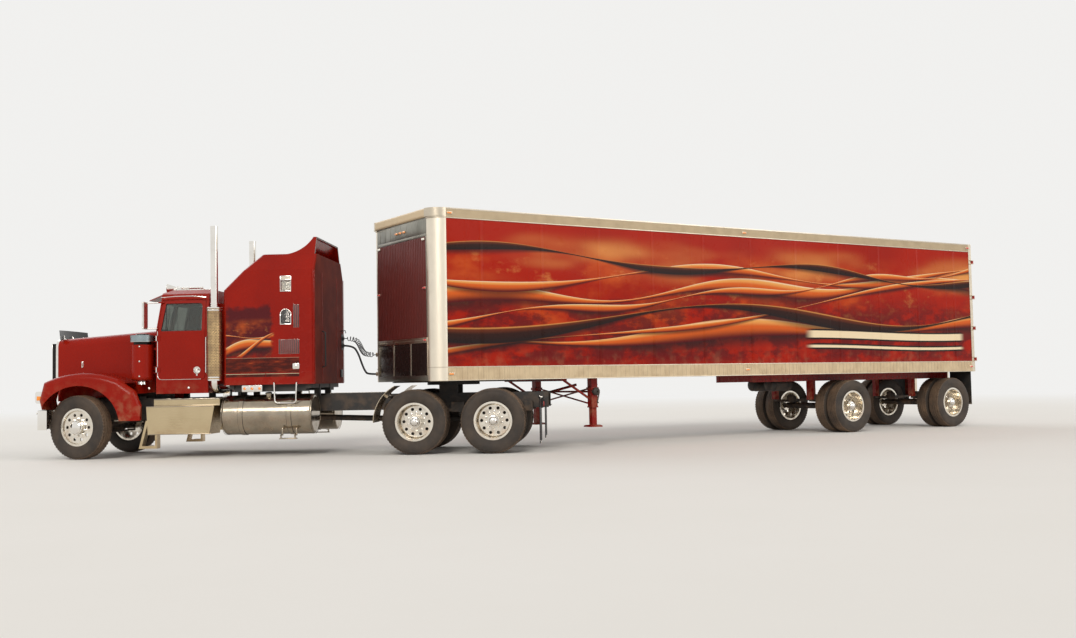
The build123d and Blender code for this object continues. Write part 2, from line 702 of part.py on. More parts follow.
for hand, side in (("left", 1), ("right", -1)):
    with BuildPart() as door:
        add(cab_outer)
        add(cab_inner, mode=Mode.SUBTRACT)
        through_side(window_outline(0), side, Mode.SUBTRACT)
        through_side(door_outline(panel_gap), side, Mode.INTERSECT)
        for z in door_hinges:
            tall = hinge_height / 2
            rod((hinge_x, side * (cab_half + hinge_out), z - tall), (hinge_x, side * (cab_half + hinge_out), z + tall),
                hinge_radius)
            block((hinge_x - 60, hinge_x), sorted((side * (cab_half + 2), side * (cab_half + 8))), (z - tall, z + tall))
            block((hinge_x - 60, door_front - panel_gap - 2), sorted((side * (cab_half - 2), side * (cab_half + 3))),
                  (z - tall, z + tall))
            rod((hinge_x, side * (cab_half + hinge_out), z - tall - 1),
                (hinge_x, side * (cab_half + hinge_out), z + tall + 1), hinge_pin + seat_gap, mode=Mode.SUBTRACT)
        # Mirror head on two arms from the door's front edge
        block((5042, 5074), sorted((side * 1110, side * 1290)), (2190, 2650))
        for root, reach_z in (((4890, 955, 2205), 2205), ((4800, 893, 2662), 2635)):
            rod((root[0], side * root[1], root[2]), (5044, side * 1130, reach_z), 11)
    pieces[f"door_{hand}"] = (door, f"door_{hand}")
    with BuildPart() as glass:
        add(pane_outer)
        add(pane_inner, mode=Mode.SUBTRACT)
        through_side(window_outline(seat_gap), side, Mode.INTERSECT)
    pieces[f"door_glass_{hand}"] = (glass, f"door_{hand}")



# Sleeper: a tall shell in four levels with rounded corners, its brow sloping back


def sleeper_form(inset):
    """The sleeper's solid form, inset all round."""
    d = inset
    levels = [(sleeper_floor + d, sleeper_front - d, sleeper_half - d),
              (sleeper_brow - d * 0.4, sleeper_front - d, sleeper_half - d),
              (sleeper_crease - d * 0.4, 3395 - d, sleeper_half - d),
              (sleeper_roof - d, 3110 - d, sleeper_roof_half - d)]
    sections = []
    for z, front, half in levels:
        middle, length = (front + sleeper_back + d) / 2, front - sleeper_back - d
        with BuildSketch(Plane.XY.offset(z)) as plan:
            with Locations((middle, 0)):
                RectangleRounded(length, 2 * half, sleeper_corner - d)
        sections.append(plan.sketch.face())
    return loft(sections=sections, ruled=True, mode=Mode.PRIVATE)


sleeper_outer, sleeper_inner = sleeper_form(0), sleeper_form(sleeper_wall)
side_window = ((2570, 2735), (2800, 2975))
with BuildPart() as sleeper:
    add(sleeper_outer)
    add(sleeper_inner, mode=Mode.SUBTRACT)
    block((sleeper_front - sleeper_wall - 10, sleeper_front + 10), (-walk_through[0], walk_through[0]),
          walk_through[1:], mode=Mode.SUBTRACT)
    for side in (1, -1):
        block(side_window[0], sorted((side * 1000, side * 1200)), side_window[1], mode=Mode.SUBTRACT)
    # Boot that closes the gap to the cab round the way through
    boot_half, boot_low, boot_high = walk_through[0] + 90, walk_through[1] - 80, walk_through[2] + 90
    with BuildSketch(Plane.YZ.offset(sleeper_front)) as boot:
        with Locations((0, (boot_low + boot_high) / 2)):
            Rectangle(2 * boot_half, boot_high - boot_low)
            Rectangle(2 * boot_half - 50, boot_high - boot_low - 50, mode=Mode.SUBTRACT)
    extrude(boot.sketch, amount=cab_back - sleeper_front)
pieces["sleeper"] = (sleeper, "tractor")

with BuildPart() as windows:
    add(pane_outer)
    add(pane_inner, mode=Mode.SUBTRACT)
    with BuildSketch(Plane.YZ.offset(windshield[0][0])) as panes:
        for side in (1, -1):
            with Locations((side * (windshield[1][0] + windshield[1][1]) / 2, (windshield[2][0] + windshield[2][1]) / 2)):
                Rectangle(windshield[1][1] - windshield[1][0] - 2 * seat_gap,
                          windshield[2][1] - windshield[2][0] - 2 * seat_gap)
    extrude(amount=windshield[0][1] - windshield[0][0], mode=Mode.INTERSECT)
    for side in (1, -1):
        pane = sorted((side * (sleeper_half - glass_inset - glass_thickness), side * (sleeper_half - glass_inset)))
        block((side_window[0][0] + seat_gap, side_window[0][1] - seat_gap), pane,
              (side_window[1][0] + seat_gap, side_window[1][1] - seat_gap))
pieces["windows"] = (windows, "tractor")

# Roof wing over the sleeper's rear edge: it sweeps up from the roof, leans in at its ends and
# is open at the back
wing_top = 3745
wing_base_half, wing_top_half = 950, 800
wing_skin = 25


def wing_form(inset):
    """The wing's solid form, inset all round, with its base and back run past when it is inset."""
    rear = 2190 - (1 if inset else 0)
    base = sleeper_roof - (1 if inset else 0)
    with BuildPart() as form:
        with BuildSketch(Plane.XZ.offset(-wing_base_half)) as outline:
            with BuildLine():
                sweep_up = ThreePointArc((2690 - 3 * inset, base), (2420 - inset, 3545 - inset * 0.9),
                                         (2250, wing_top - inset))
                Polyline(sweep_up @ 1, (rear, wing_top - inset), (rear, base), sweep_up @ 0)
            make_face()
        extrude(outline.sketch, amount=2 * wing_base_half)
        for side in (1, -1):
            outward = Vector(0, side * (wing_top - sleeper_roof), wing_base_half - wing_top_half).normalized()
            foot = Vector(0, side * wing_base_half, sleeper_roof) - outward * inset
            split(bisect_by=Plane(origin=foot, z_dir=outward), keep=Keep.BOTTOM)
    return form.part


wing_outer, wing_inner = wing_form(0), wing_form(wing_skin)
with BuildPart() as sleeper_wing:
    add(wing_outer)
    add(wing_inner, mode=Mode.SUBTRACT)
pieces["sleeper_wing"] = (sleeper_wing, "tractor")

# Exhaust stacks: each rises from a bracket on its rail, turns up and swells at the muffler
with BuildPart() as exhaust_stacks:
    for side in (1, -1):
        low_z = rail_top + 130
        with BuildLine() as route:
            FilletPolyline((stack_x, side * (rail_half + 60), low_z), (stack_x, side * stack_y, low_z),
                           (stack_x, side * stack_y, stack_top), radius=130)
        with BuildSketch(Plane(origin=route.line @ 0, z_dir=route.line % 0)) as section:
            Circle(stack_radius)
        sweep(section.sketch, path=route.line)
        rod((stack_x, side * stack_y, shield_low + 10), (stack_x, side * stack_y, shield_high - 10), muffler_radius)
        rod((stack_x, side * stack_y, stack_top - 300), (stack_x, side * stack_y, stack_top + 1), stack_radius - 3,
            mode=Mode.SUBTRACT)
        block((stack_x - 60, stack_x + 60), sorted((side * (rail_half - 80), side * (rail_half + 62))),
              (rail_top, low_z + 70))
        with BuildSketch(Plane.XY.offset(shield_low)) as wrap:
            with Locations((stack_x, side * stack_y)):
                Circle(shield_radius)
                Circle(muffler_radius + seat_gap, mode=Mode.SUBTRACT)
            with Locations((stack_x, side * (stack_y - 140))):
                Rectangle(2 * shield_radius, 200, mode=Mode.SUBTRACT)
        extrude(wrap.sketch, amount=shield_high - shield_low)
pieces["exhaust_stacks"] = (exhaust_stacks, "tractor")

# Air cleaners on the cowl's shoulders
cleaner_x, cleaner_y, cleaner_low, cleaner_radius, cleaner_cap = 5225, 880, 1320, 188, 205
with BuildPart() as air_cleaners:
    for side in (1, -1):
        y = side * cleaner_y
        rod((cleaner_x, y, cleaner_low), (cleaner_x, y, 1935), cleaner_radius)
        rod((cleaner_x, y, 1934), (cleaner_x, y, 2010), cleaner_radius - 40)
        rod((cleaner_x, y, 1990), (cleaner_x, y, 2100), cleaner_cap)
    fillet(air_cleaners.edges().filter_by(GeomType.CIRCLE).group_by(Axis.Z)[0], radius=70)
    for side in (1, -1):
        block((5000, cleaner_x), sorted((side * 800, side * 860)), (1500, 1530))
        block((5000, cleaner_x), sorted((side * 800, side * 860)), (1850, 1880))
    add(cab_outer, mode=Mode.SUBTRACT)
pieces["air_cleaners"] = (air_cleaners, "tractor")

# Fuel tanks with their straps, and the stepped boxes ahead of them
with BuildPart() as fuel_tanks:
    for side in (1, -1):
        rod((tank_rear, side * tank_y, tank_z), (tank_front, side * tank_y, tank_z), tank_radius)
    fillet(fuel_tanks.edges().filter_by(GeomType.CIRCLE), radius=45)
    for side in (1, -1):
        for x in (3430, 2600):
            with BuildSketch(Plane.YZ.offset(x - 38)) as strap:
                with Locations((side * tank_y, tank_z)):
                    Circle(tank_radius + 8)
                with Locations((side * (rail_half + tank_y - 60) / 2, tank_z - 80)):
                    Rectangle(tank_y - 60 - rail_half, 340)
                with Locations((side * tank_y, tank_z)):
                    Circle(tank_radius + seat_gap, mode=Mode.SUBTRACT)
            extrude(strap.sketch, amount=76)
pieces["fuel_tanks"] = (fuel_tanks, "tractor")

step_out, step_low, step_ledge, step_high = 1200, 400, 880, 1000
with BuildPart() as step_boxes:
    for side in (1, -1):
        inner, outer = side * 640, side * step_out
        side_panel([(step_rear, step_ledge), (step_front, step_ledge), (step_front, step_ledge - 30),
                    (step_front - 25, step_low), (step_rear + 85, step_low), (step_rear, step_ledge - 30)],
                   sorted((inner, outer)))
        block((tread_rear, tread_front), sorted((inner, side * (step_out - 90))), (step_ledge - 1, step_high))
        # Stirrup step that hangs from the front end
        side_panel([(5000, 640), (5045, 640), (5165, 170), (4850, 170), (4850, 401), (4885, 401),
                    (4885, 215), (5110, 215)], sorted((side * (step_out - 150), outer)))
        for x in (4050, 4800):
            block((x - 30, x + 30), sorted((side * rail_half, side * 641)), (780, 980))
pieces["step_boxes"] = (step_boxes, "tractor")

# Drive axles with their centre housings, and their springs on the frame
with BuildPart() as drive_axles:
    for x in drive_axle_x:
        rod((x, -dual_track / 2, tyre_radius), (x, dual_track / 2, tyre_radius), spindle_radius)
        rod((x, -720, tyre_radius), (x, 720, tyre_radius), 62)
        rod((x - 150, 0, 560), (x + 190, 0, 560), 120)
        rod((x, -110, tyre_radius), (x, 110, tyre_radius), 190)
    rod((4535, 0, 700), (drive_axle_x[0] + 180, 0, 560), 50)
    rod((drive_axle_x[0] - 140, 0, 560), (drive_axle_x[1] + 180, 0, 560), 50)
    for side in (1, -1):
        y = (side * 520 - 45, side * 520 + 45)
        for x in drive_axle_x:
            block((x - 55, x + 55), y, (tyre_radius + 62.3, 680))
            side_panel([(x - 560, 700), (x, 679), (x + 560, 700), (x + 560, 745), (x, 760), (x - 560, 745)], y)
        middle = sum(drive_axle_x) / 2
        for x, half in ((drive_axle_x[0] + 560, 70), (middle, 115), (drive_axle_x[1] - 560, 70)):
            block((x - half, x + half), sorted((side * rail_half, side * 566)), (690, 860))
pieces["drive_axles"] = (drive_axles, "tractor")

# Fifth wheel: the round plate with its throat, on two side stands over the rails
plate_half, plate_front, plate_rear = 455, 420, -480
throat = king_pin_radius + seat_gap
with BuildPart() as fifth_wheel:
    with BuildSketch(Plane.XY.offset(coupler_z - 45)) as plan:
        with BuildLine():
            front = ThreePointArc((0, -plate_half), (plate_front, 0), (0, plate_half))
            Polyline(front @ 1, (-300, plate_half - 30), (plate_rear, 260), (plate_rear, 190), (-160, 32))
            mouth = ThreePointArc((-160, 32), (king_pin_radius + 0.05 + 8, 0), (-160, -32))
            Polyline(mouth @ 1, (plate_rear, -190), (plate_rear, -260), (-300, -plate_half + 30), front @ 0)
        make_face()
    extrude(plan.sketch, amount=45 - seat_gap)
    for side in (1, -1):
        block((-160, 160), sorted((side * 320, side * 400)), (rail_top, coupler_z - 44))
pieces["fifth_wheel"] = (fifth_wheel, "tractor")

# Quarter fenders ahead of the drive wheels and flaps behind them
quarter_radius = 690
with BuildPart() as splash_guards:
    for side in (1, -1):
        with BuildSketch(Plane.XZ.offset(-side * 640)) as band:
            with BuildLine():
                outer = CenterArc((drive_axle_x[0], tyre_radius), quarter_radius, 0, 62)
                inner = CenterArc((drive_axle_x[0], tyre_radius), quarter_radius - 8, 0, 62)
                Line(outer @ 0, inner @ 0)
                Line(outer @ 1, inner @ 1)
            make_face()
        extrude(band.sketch, amount=580 if side < 0 else -580)
        x = drive_axle_x[0] + (quarter_radius - 25) * cos(radians(40))
        z = tyre_radius + (quarter_radius - 25) * sin(radians(40))
        rod((x, side * rail_half, z), (x, side * 900, z), 22)
    for side in (1, -1):
        block((-1630, -1618), sorted((side * 620, side * 1215)), (160, 940))
        rod((-1624, side * rail_half, 920), (-1624, side * 1215, 920), 18)
pieces["splash_guards"] = (splash_guards, "tractor")


# Trailer floor: a deck on close cross beams between the two bottom rails
inner_half = trailer_half - side_wall
deck_low = floor_top - deck_thickness
wall_front = trailer_front - nose_corner
wall_rear = trailer_rear + post_width
corner_end = trailer_half - nose_corner
beam_count = int((trailer_length - 2 * beam_pitch) / beam_pitch)
with BuildPart() as trailer_floor:
    block((wall_rear, wall_front), (-inner_half, inner_half), (deck_low, floor_top))
    block((wall_front - 1, trailer_front - front_wall), (-corner_end, corner_end), (deck_low, floor_top))
    for i in range(beam_count):
        x = trailer_rear + 2 * beam_pitch + i * beam_pitch
        if x < -1000 or x > 1000:
            block((x - 3, x + 3), (-inner_half, inner_half), (deck_low - beam_depth, deck_low + 1))
            block((x - 25, x + 25), (-inner_half, inner_half), (deck_low - beam_depth - 4, deck_low - beam_depth))
pieces["trailer_floor"] = (trailer_floor, "trailer")

# Side walls between the rails, and the rails themselves as one long section each side
rail_proud = 8
with BuildPart() as trailer_walls:
    for side in (1, -1):
        y = sorted((side * (inner_half + rail_proud), side * (trailer_half - rail_proud)))
        block((wall_rear, wall_front), y, (trailer_under + bottom_rail, trailer_top - top_rail))
    block((trailer_front - front_wall, trailer_front), (-corner_end, corner_end), (trailer_under, trailer_top))
    block((trailer_front - 1, trailer_front + nose_cap), (-corner_end, corner_end), (cap_low, trailer_top))
    fillet(trailer_walls.edges().filter_by(Axis.Y).group_by(Axis.X)[-1], radius=nose_cap - 10)
pieces["trailer_walls"] = (trailer_walls, "trailer")

with BuildPart() as trailer_rails:
    for side in (1, -1):
        block((wall_rear, wall_front), sorted((side * inner_half, side * trailer_half)),
              (trailer_under, trailer_under + bottom_rail))
    for side in (1, -1):
        block((wall_rear, wall_front), sorted((side * inner_half, side * trailer_half)),
              (trailer_top - top_rail, trailer_top))
    for side in (1, -1):
        with BuildSketch(Plane.XY.offset(trailer_under)) as section:
            with BuildLine():
                ThreePointArc((wall_front, side * trailer_half),
                              (wall_front + nose_corner * cos(radians(45)),
                               side * (corner_end + nose_corner * sin(radians(45)))),
                              (trailer_front, side * corner_end))
                Line((trailer_front, side * corner_end), (trailer_front - side_wall, side * corner_end))
                ThreePointArc((trailer_front - side_wall, side * corner_end),
                              (wall_front + (nose_corner - side_wall) * cos(radians(45)),
                               side * (corner_end + (nose_corner - side_wall) * sin(radians(45)))),
                              (wall_front, side * inner_half))
                Line((wall_front, side * inner_half), (wall_front, side * trailer_half))
            make_face()
        extrude(section.sketch, amount=trailer_top - trailer_under)
pieces["trailer_rails"] = (trailer_rails, "trailer")

# Roof: a thin crowned sheet inside the top rails
with BuildPart() as trailer_roof:
    with BuildSketch(Plane.YZ.offset(wall_rear)) as section:
        with BuildLine():
            low = trailer_top - 80
            ThreePointArc((-inner_half, low), (0, trailer_top - 10 - roof_skin), (inner_half, low))
            Line((inner_half, low), (inner_half, low + roof_skin))
            ThreePointArc((inner_half, low + roof_skin), (0, trailer_top - 10), (-inner_half, low + roof_skin))
            Line((-inner_half, low + roof_skin), (-inner_half, low))
        make_face()
    extrude(section.sketch, amount=wall_front - wall_rear)
    block((wall_front - 1, trailer_front - front_wall), (-corner_end, corner_end),
          (trailer_top - 80, trailer_top - 80 + roof_skin))
pieces["trailer_roof"] = (trailer_roof, "trailer")

# Rear frame: posts, header and sill as one ring, with the hinge lugs outside its posts
door_edge = trailer_half - post_width
hinge_line_x = trailer_rear - 25
hinge_line_y = trailer_half + door_swing_out
rear_hinges = [1500, 2200, 2900, 3700]
opening_low, opening_high = floor_top, trailer_top - rear_header
with BuildPart() as rear_frame:
    block((trailer_rear, trailer_rear + post_width), (-trailer_half, trailer_half), (trailer_under, trailer_top))
    block((trailer_rear - 1, trailer_rear + post_width + 1), (-door_edge, door_edge), (opening_low, opening_high),
          mode=Mode.SUBTRACT)
    for side in (1, -1):
        for z in rear_hinges:
            for end in (-1, 1):
                lug = z + end * 40
                block((hinge_line_x - 14, trailer_rear + 60),
                      sorted((side * trailer_half, side * (hinge_line_y + 14))), (lug - 6, lug + 6))
            rod((hinge_line_x, side * hinge_line_y, z - 46), (hinge_line_x, side * hinge_line_y, z + 46), hinge_pin)
    # Two holes for a number plate's bracket, in the sill
    for shift in (-plate_hole_spacing / 2, plate_hole_spacing / 2):
        rod((trailer_rear - 1, plate_y + shift, plate_z), (trailer_rear + plate_hole_depth, plate_y + shift, plate_z),
            plate_hole_radius, mode=Mode.SUBTRACT)
    # Underride guard below the sill
    block((trailer_rear + 10, trailer_rear + 80), (-1000, 1000), (500, 600))
    for side in (1, -1):
        block((trailer_rear + 10, trailer_rear + 80), sorted((side * 420, side * 500)), (599, trailer_under + 1))
pieces["rear_frame"] = (rear_frame, "trailer")

for hand, side in (("left", 1), ("right", -1)):
    with BuildPart() as panel:
        block((trailer_rear, trailer_rear + rear_door), sorted((side * panel_gap / 2, side * (door_edge - panel_gap))),
              (opening_low + panel_gap, opening_high - panel_gap))
        for z in rear_hinges:
            block((trailer_rear - 8, trailer_rear), sorted((side * (door_edge - 110), side * (hinge_line_y - 4))),
                  (z - 32, z + 32))
            rod((hinge_line_x, side * hinge_line_y, z - 32), (hinge_line_x, side * hinge_line_y, z + 32), 14)
            block((hinge_line_x, trailer_rear), sorted((side * (hinge_line_y - 14), side * hinge_line_y)),
                  (z - 32, z + 32))
            rod((hinge_line_x, side * hinge_line_y, z - 33), (hinge_line_x, side * hinge_line_y, z + 33),
                hinge_pin + seat_gap, mode=Mode.SUBTRACT)
    pieces[f"rear_door_{hand}"] = (panel, f"rear_door_{hand}")

# Coupler: the plate under the nose with its frame, and the kingpin
with BuildPart() as coupler:
    block((-950, 880), (-560, 560), (coupler_z, coupler_z + coupler_plate))
    for x in (-900, -300, 300, 830):
        block((x - 30, x + 30), (-560, 560), (coupler_z + coupler_plate - 1, deck_low))
    rod((0, 0, coupler_z - king_pin_length), (0, 0, coupler_z + 60), king_pin_radius)
    rod((0, 0, coupler_z - king_pin_length), (0, 0, coupler_z - king_pin_length + 14), king_pin_radius + 10)
pieces["coupler"] = (coupler, "trailer")

# Landing gear: two square legs, drawn up, with their braces and a cross shaft
leg_x, leg_y = -2380, 950
with BuildPart() as landing_gear:
    for side in (1, -1):
        y = side * leg_y
        block((leg_x - 65, leg_x + 65), (y - 65, y + 65), (700, deck_low - beam_depth - 4))
        block((leg_x - 50, leg_x + 50), (y - 50, y + 50), (360, 701))
        block((leg_x - 110, leg_x + 110), (y - 125, y + 125), (345, 361))
        rod((leg_x + 60, y, 850), (leg_x + 640, y, deck_low - beam_depth - 30), 22)
    rod((leg_x, -leg_y, 980), (leg_x, leg_y, 980), 18)
    block((leg_x + 580, leg_x + 700), (-leg_y - 40, leg_y + 40), (deck_low - beam_depth - 54, deck_low - beam_depth - 4))
pieces["landing_gear"] = (landing_gear, "trailer")

# Running gear: two rails under the floor with hangers, springs and tube axles
gear_y, gear_low, gear_high = 520, 1080, deck_low - beam_depth - 4
spring_half = 560
with BuildPart() as trailer_subframe:
    for side in (1, -1):
        y = (side * gear_y - 45, side * gear_y + 45)
        block((trailer_axle_x[1] - 630, trailer_axle_x[0] + 2200), y, (gear_low, gear_high))
        for x in trailer_axle_x:
            for end in (-1, 1):
                block((x + end * spring_half - 60, x + end * spring_half + 60), y, (690, gear_low + 1))
    for x in (trailer_axle_x[1] - 560, sum(trailer_axle_x) / 2, trailer_axle_x[0] + 1000, trailer_axle_x[0] + 2150):
        block((x - 40, x + 40), (-gear_y, gear_y), (gear_low + 10, gear_high))
pieces["trailer_subframe"] = (trailer_subframe, "trailer")

with BuildPart() as trailer_axles:
    for side in (1, -1):
        y = (side * gear_y - 38, side * gear_y + 38)
        for x in trailer_axle_x:
            low = tyre_radius + 63.8
            side_panel([(x - spring_half, low + 40), (x, low), (x + spring_half, low + 40),
                        (x + spring_half, low + 81), (x, low + 70), (x - spring_half, low + 81)], y)
    for x in trailer_axle_x:
        rod((x, -dual_track / 2, tyre_radius), (x, dual_track / 2, tyre_radius), spindle_radius)
        rod((x, -720, tyre_radius), (x, 720, tyre_radius), 63.5)
pieces["trailer_axles"] = (trailer_axles, "trailer")

# Flaps behind the last wheels, on the rear sill's front face
with BuildPart() as trailer_flaps:
    for side in (1, -1):
        block((wall_rear, wall_rear + 10), sorted((side * 600, side * 1170)), (480, trailer_under + 80))
pieces["trailer_flaps"] = (trailer_flaps, "trailer")


# Inside the cab: floor, seats, dash and steering wheel, on the cab's floor panel
with BuildPart() as cab_interior:
    low = cab_floor + cab_wall
    for side in (1, -1):
        y = sorted((side * 230, side * 730))
        block((4250, 4500), (side * 480 - 150, side * 480 + 150), (low, 1400))
        block((4220, 4700), y, (1400, 1520))
        block((4150, 4260), y, (1480, 2120))
    block((4900, 4985), (-640, 640), (1560, 2080))
    block((4895, 4975), (-560, 560), (low, 1561))
    with Locations(Plane(origin=(4780, 480, 1965), z_dir=(-115, 0, 60))):
        Cylinder(235, 24)
        Cylinder(210, 30, mode=Mode.SUBTRACT)
        Box(430, 40, 18)
    rod((4905, 480, 1900), (4776, 480, 1967), 20)
pieces["cab_interior"] = (cab_interior, "tractor")


def line_tube(points, radius):
    """A service line: straight runs joined by arcs as large as the runs allow."""
    bends = []
    for before, at, after in zip(points, points[1:], points[2:]):
        first, second = Vector(*at) - Vector(*before), Vector(*after) - Vector(*at)
        turn = radians(first.get_angle(second))
        bends.append(0.45 * min(first.length, second.length) / tan(turn / 2))
    print("bend radii", [round(bend) for bend in bends])
    with BuildPart() as tube:
        with BuildLine() as route:
            FilletPolyline(*points, radius=bends)
        with BuildSketch(Plane(origin=route.line @ 0, z_dir=route.line % 0)):
            Circle(radius)
        sweep(path=route.line)
    return tube


# Service lines from the sleeper's back wall to the trailer's nose, in the parked stance
turn = radians(articulation)


def behind_cab(x, y, z):
    """A point given in the tractor's own directions, as it stands when parked."""
    return (x * cos(turn) + y * sin(turn), -x * sin(turn) + y * cos(turn), z)


plug_y = -1000
corner_reach = nose_corner + seat_gap


def off_corner(reach, z):
    """A point at a distance from the trailer's right nose corner, square to its middle."""
    along = (corner_reach + reach) * cos(radians(45))
    return (wall_front + along, -corner_end - along, z)


coil_points = [behind_cab(sleeper_back - seat_gap, plug_y, 2050), behind_cab(sleeper_back - 240, plug_y, 2050),
               (985, -1730, 1920), (1020, -1540, 1800), off_corner(230, 1720), off_corner(0, 1720)]
hose_points = [behind_cab(sleeper_back - seat_gap, plug_y, 1915), behind_cab(sleeper_back - 200, plug_y, 1915),
               (985, -1800, 1760), (985, -1640, 1560), (1000, -1460, 1420), off_corner(200, 1370),
               off_corner(0, 1370)]
pieces["coiled_line"] = (line_tube(coil_points, 32), "trailer")
pieces["wrapped_hose"] = (line_tube(hose_points, 20), "trailer")

# Stance: turn what belongs to the tractor about the kingpin, and the steered pieces first about
# their own pins, then set the whole over the middle of its own footprint

tractor_turn = Rot(0, 0, -articulation)


def stance(body):
    """The placement of a body's pieces relative to the trailer."""
    if body.startswith(("steer_wheel", "knuckle")):
        y = pivot_y if body.endswith("left") else -pivot_y
        return tractor_turn * Pos(front_axle_x, y, 0) * Rot(0, 0, -steer_angle) * Pos(-front_axle_x, -y, 0)
    if body == "tie_rod":
        swing = radians(steer_angle)
        return tractor_turn * Pos(steer_arm * (1 - cos(swing)), steer_arm * sin(swing), 0)
    if body.startswith(("trailer", "rear_door")):
        return Location()
    return tractor_turn


placed = {name: builder.part.moved(stance(body)) for name, (builder, body) in pieces.items()}
boxes = [part.bounding_box() for part in placed.values()]
low_corner = [min(getattr(box.min, axis) for box in boxes) for axis in "XYZ"]
high_corner = [max(getattr(box.max, axis) for box in boxes) for axis in "XYZ"]
origin_shift = Pos(-(low_corner[0] + high_corner[0]) / 2, -(low_corner[1] + high_corner[1]) / 2, -low_corner[2])

for name, part in placed.items():
    part = origin_shift * part
    part.label = name
    export_step(part, f"parts/{name}.step")
print("kingpin at", origin_shift.position, "nodes", len(placed))
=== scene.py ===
import bpy
import bmesh
import json
from math import cos, exp, pi, radians, sin
from mathutils import Matrix, Vector

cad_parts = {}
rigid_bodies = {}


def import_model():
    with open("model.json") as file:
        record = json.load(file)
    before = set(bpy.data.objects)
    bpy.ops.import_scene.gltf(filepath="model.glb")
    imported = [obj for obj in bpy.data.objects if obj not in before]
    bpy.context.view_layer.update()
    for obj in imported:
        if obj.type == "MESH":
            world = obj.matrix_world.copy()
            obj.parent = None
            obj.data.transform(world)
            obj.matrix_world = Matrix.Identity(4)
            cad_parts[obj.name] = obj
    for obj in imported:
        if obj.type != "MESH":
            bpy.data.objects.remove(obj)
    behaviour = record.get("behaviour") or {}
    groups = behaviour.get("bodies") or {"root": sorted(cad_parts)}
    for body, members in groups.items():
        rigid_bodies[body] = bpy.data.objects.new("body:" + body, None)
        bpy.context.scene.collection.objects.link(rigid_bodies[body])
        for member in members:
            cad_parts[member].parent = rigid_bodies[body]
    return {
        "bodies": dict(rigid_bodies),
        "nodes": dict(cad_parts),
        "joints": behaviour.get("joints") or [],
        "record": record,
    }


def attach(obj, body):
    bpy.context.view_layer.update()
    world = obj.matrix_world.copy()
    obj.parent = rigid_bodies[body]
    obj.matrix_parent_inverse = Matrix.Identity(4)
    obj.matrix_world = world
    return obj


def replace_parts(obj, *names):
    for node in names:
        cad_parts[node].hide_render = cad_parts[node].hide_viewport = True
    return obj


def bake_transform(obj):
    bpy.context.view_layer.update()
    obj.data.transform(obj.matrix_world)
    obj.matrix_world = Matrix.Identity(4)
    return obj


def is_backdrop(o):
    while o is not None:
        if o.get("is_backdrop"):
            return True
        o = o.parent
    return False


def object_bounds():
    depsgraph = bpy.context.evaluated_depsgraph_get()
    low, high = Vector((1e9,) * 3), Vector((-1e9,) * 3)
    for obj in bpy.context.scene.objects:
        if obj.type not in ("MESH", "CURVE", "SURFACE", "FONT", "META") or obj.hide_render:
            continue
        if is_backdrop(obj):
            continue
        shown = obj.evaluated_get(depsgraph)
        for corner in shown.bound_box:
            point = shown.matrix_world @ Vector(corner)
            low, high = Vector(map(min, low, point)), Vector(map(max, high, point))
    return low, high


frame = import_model()
cad_low, cad_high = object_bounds()
nodes = frame["nodes"]

# The two working frames, in millimetres with X and Y zero on the kingpin, and the steered wheels
kingpin = Vector((3.22577, 1.50668, 0))
turn, steer = radians(-35.3), radians(-13.5)
axle_x, pin_y, tyre_r = 6215, 880, 545
TRAILER = Matrix.Translation(kingpin) @ Matrix.Scale(0.001, 4)
TRACTOR = Matrix.Translation(kingpin) @ Matrix.Rotation(turn, 4, "Z") @ Matrix.Scale(0.001, 4)

# Places that more than one piece or finish uses, in those millimetres
nose_x, rear_x, wall_y, corner_x, corner_y = 945, -12771, 1219, 705, 979
seam_step, rib_step = 1219, 65.4
sleeper_x, sleeper_y, bumper_x = 2165, 1128, 7008
stack_x, stack_y, cleaner_x, cleaner_y = 3890, 1100, 5225, 880
tank_y, tank_z = 868, 705
plug_y, socket_heights, coupling_heights = -1000, (2050, 1915), (1720, 1370)
wheel_rows = (("drive_front", 480), ("drive_rear", -840), ("trailer_front", -8830), ("trailer_rear", -12010))
hands = (("left", 1), ("right", -1))
forwards, rearwards, outwards, upwards = (1, 0, 0), (-1, 0, 0), (0, 1, 0), (0, 0, 1)


def steered(side):
    """The frame of a steered wheel, drawn straight ahead in the tractor's millimetres."""
    pin = Vector((axle_x, side * pin_y, 0))
    return TRACTOR @ Matrix.Translation(pin) @ Matrix.Rotation(steer, 4, "Z") @ Matrix.Translation(-pin)


# Node graphs
class Wire:
    """A socket that can be added, multiplied and so on."""

    def __init__(self, graph, socket):
        self.graph, self.socket = graph, socket

    def __add__(self, other):
        return self.graph.math("ADD", self, other)

    def __sub__(self, other):
        return self.graph.math("SUBTRACT", self, other)

    def __rsub__(self, other):
        return self.graph.math("SUBTRACT", other, self)

    def __mul__(self, other):
        return self.graph.math("MULTIPLY", self, other)

    def __truediv__(self, other):
        return self.graph.math("DIVIDE", self, other)

    __radd__, __rmul__ = __add__, __mul__

    def above(self, low, high):
        """0 below low and 1 above high, with a soft step between."""
        return self.graph.wire("ShaderNodeMapRange", {"interpolation_type": "SMOOTHSTEP"},
                               {"Value": self, "From Min": low, "From Max": high})

    def below(self, low, high):
        """1 below low and 0 above high, with a soft step between."""
        return 1 - self.above(low, high)

    def between(self, low, high, soft):
        """1 from low to high, with soft ends."""
        return self.above(low - soft, low + soft) * self.below(high - soft, high + soft)

    def saw(self, pitch):
        """How far along its step the value is, from 0 to 1."""
        return self.graph.math("FRACT", self / pitch)


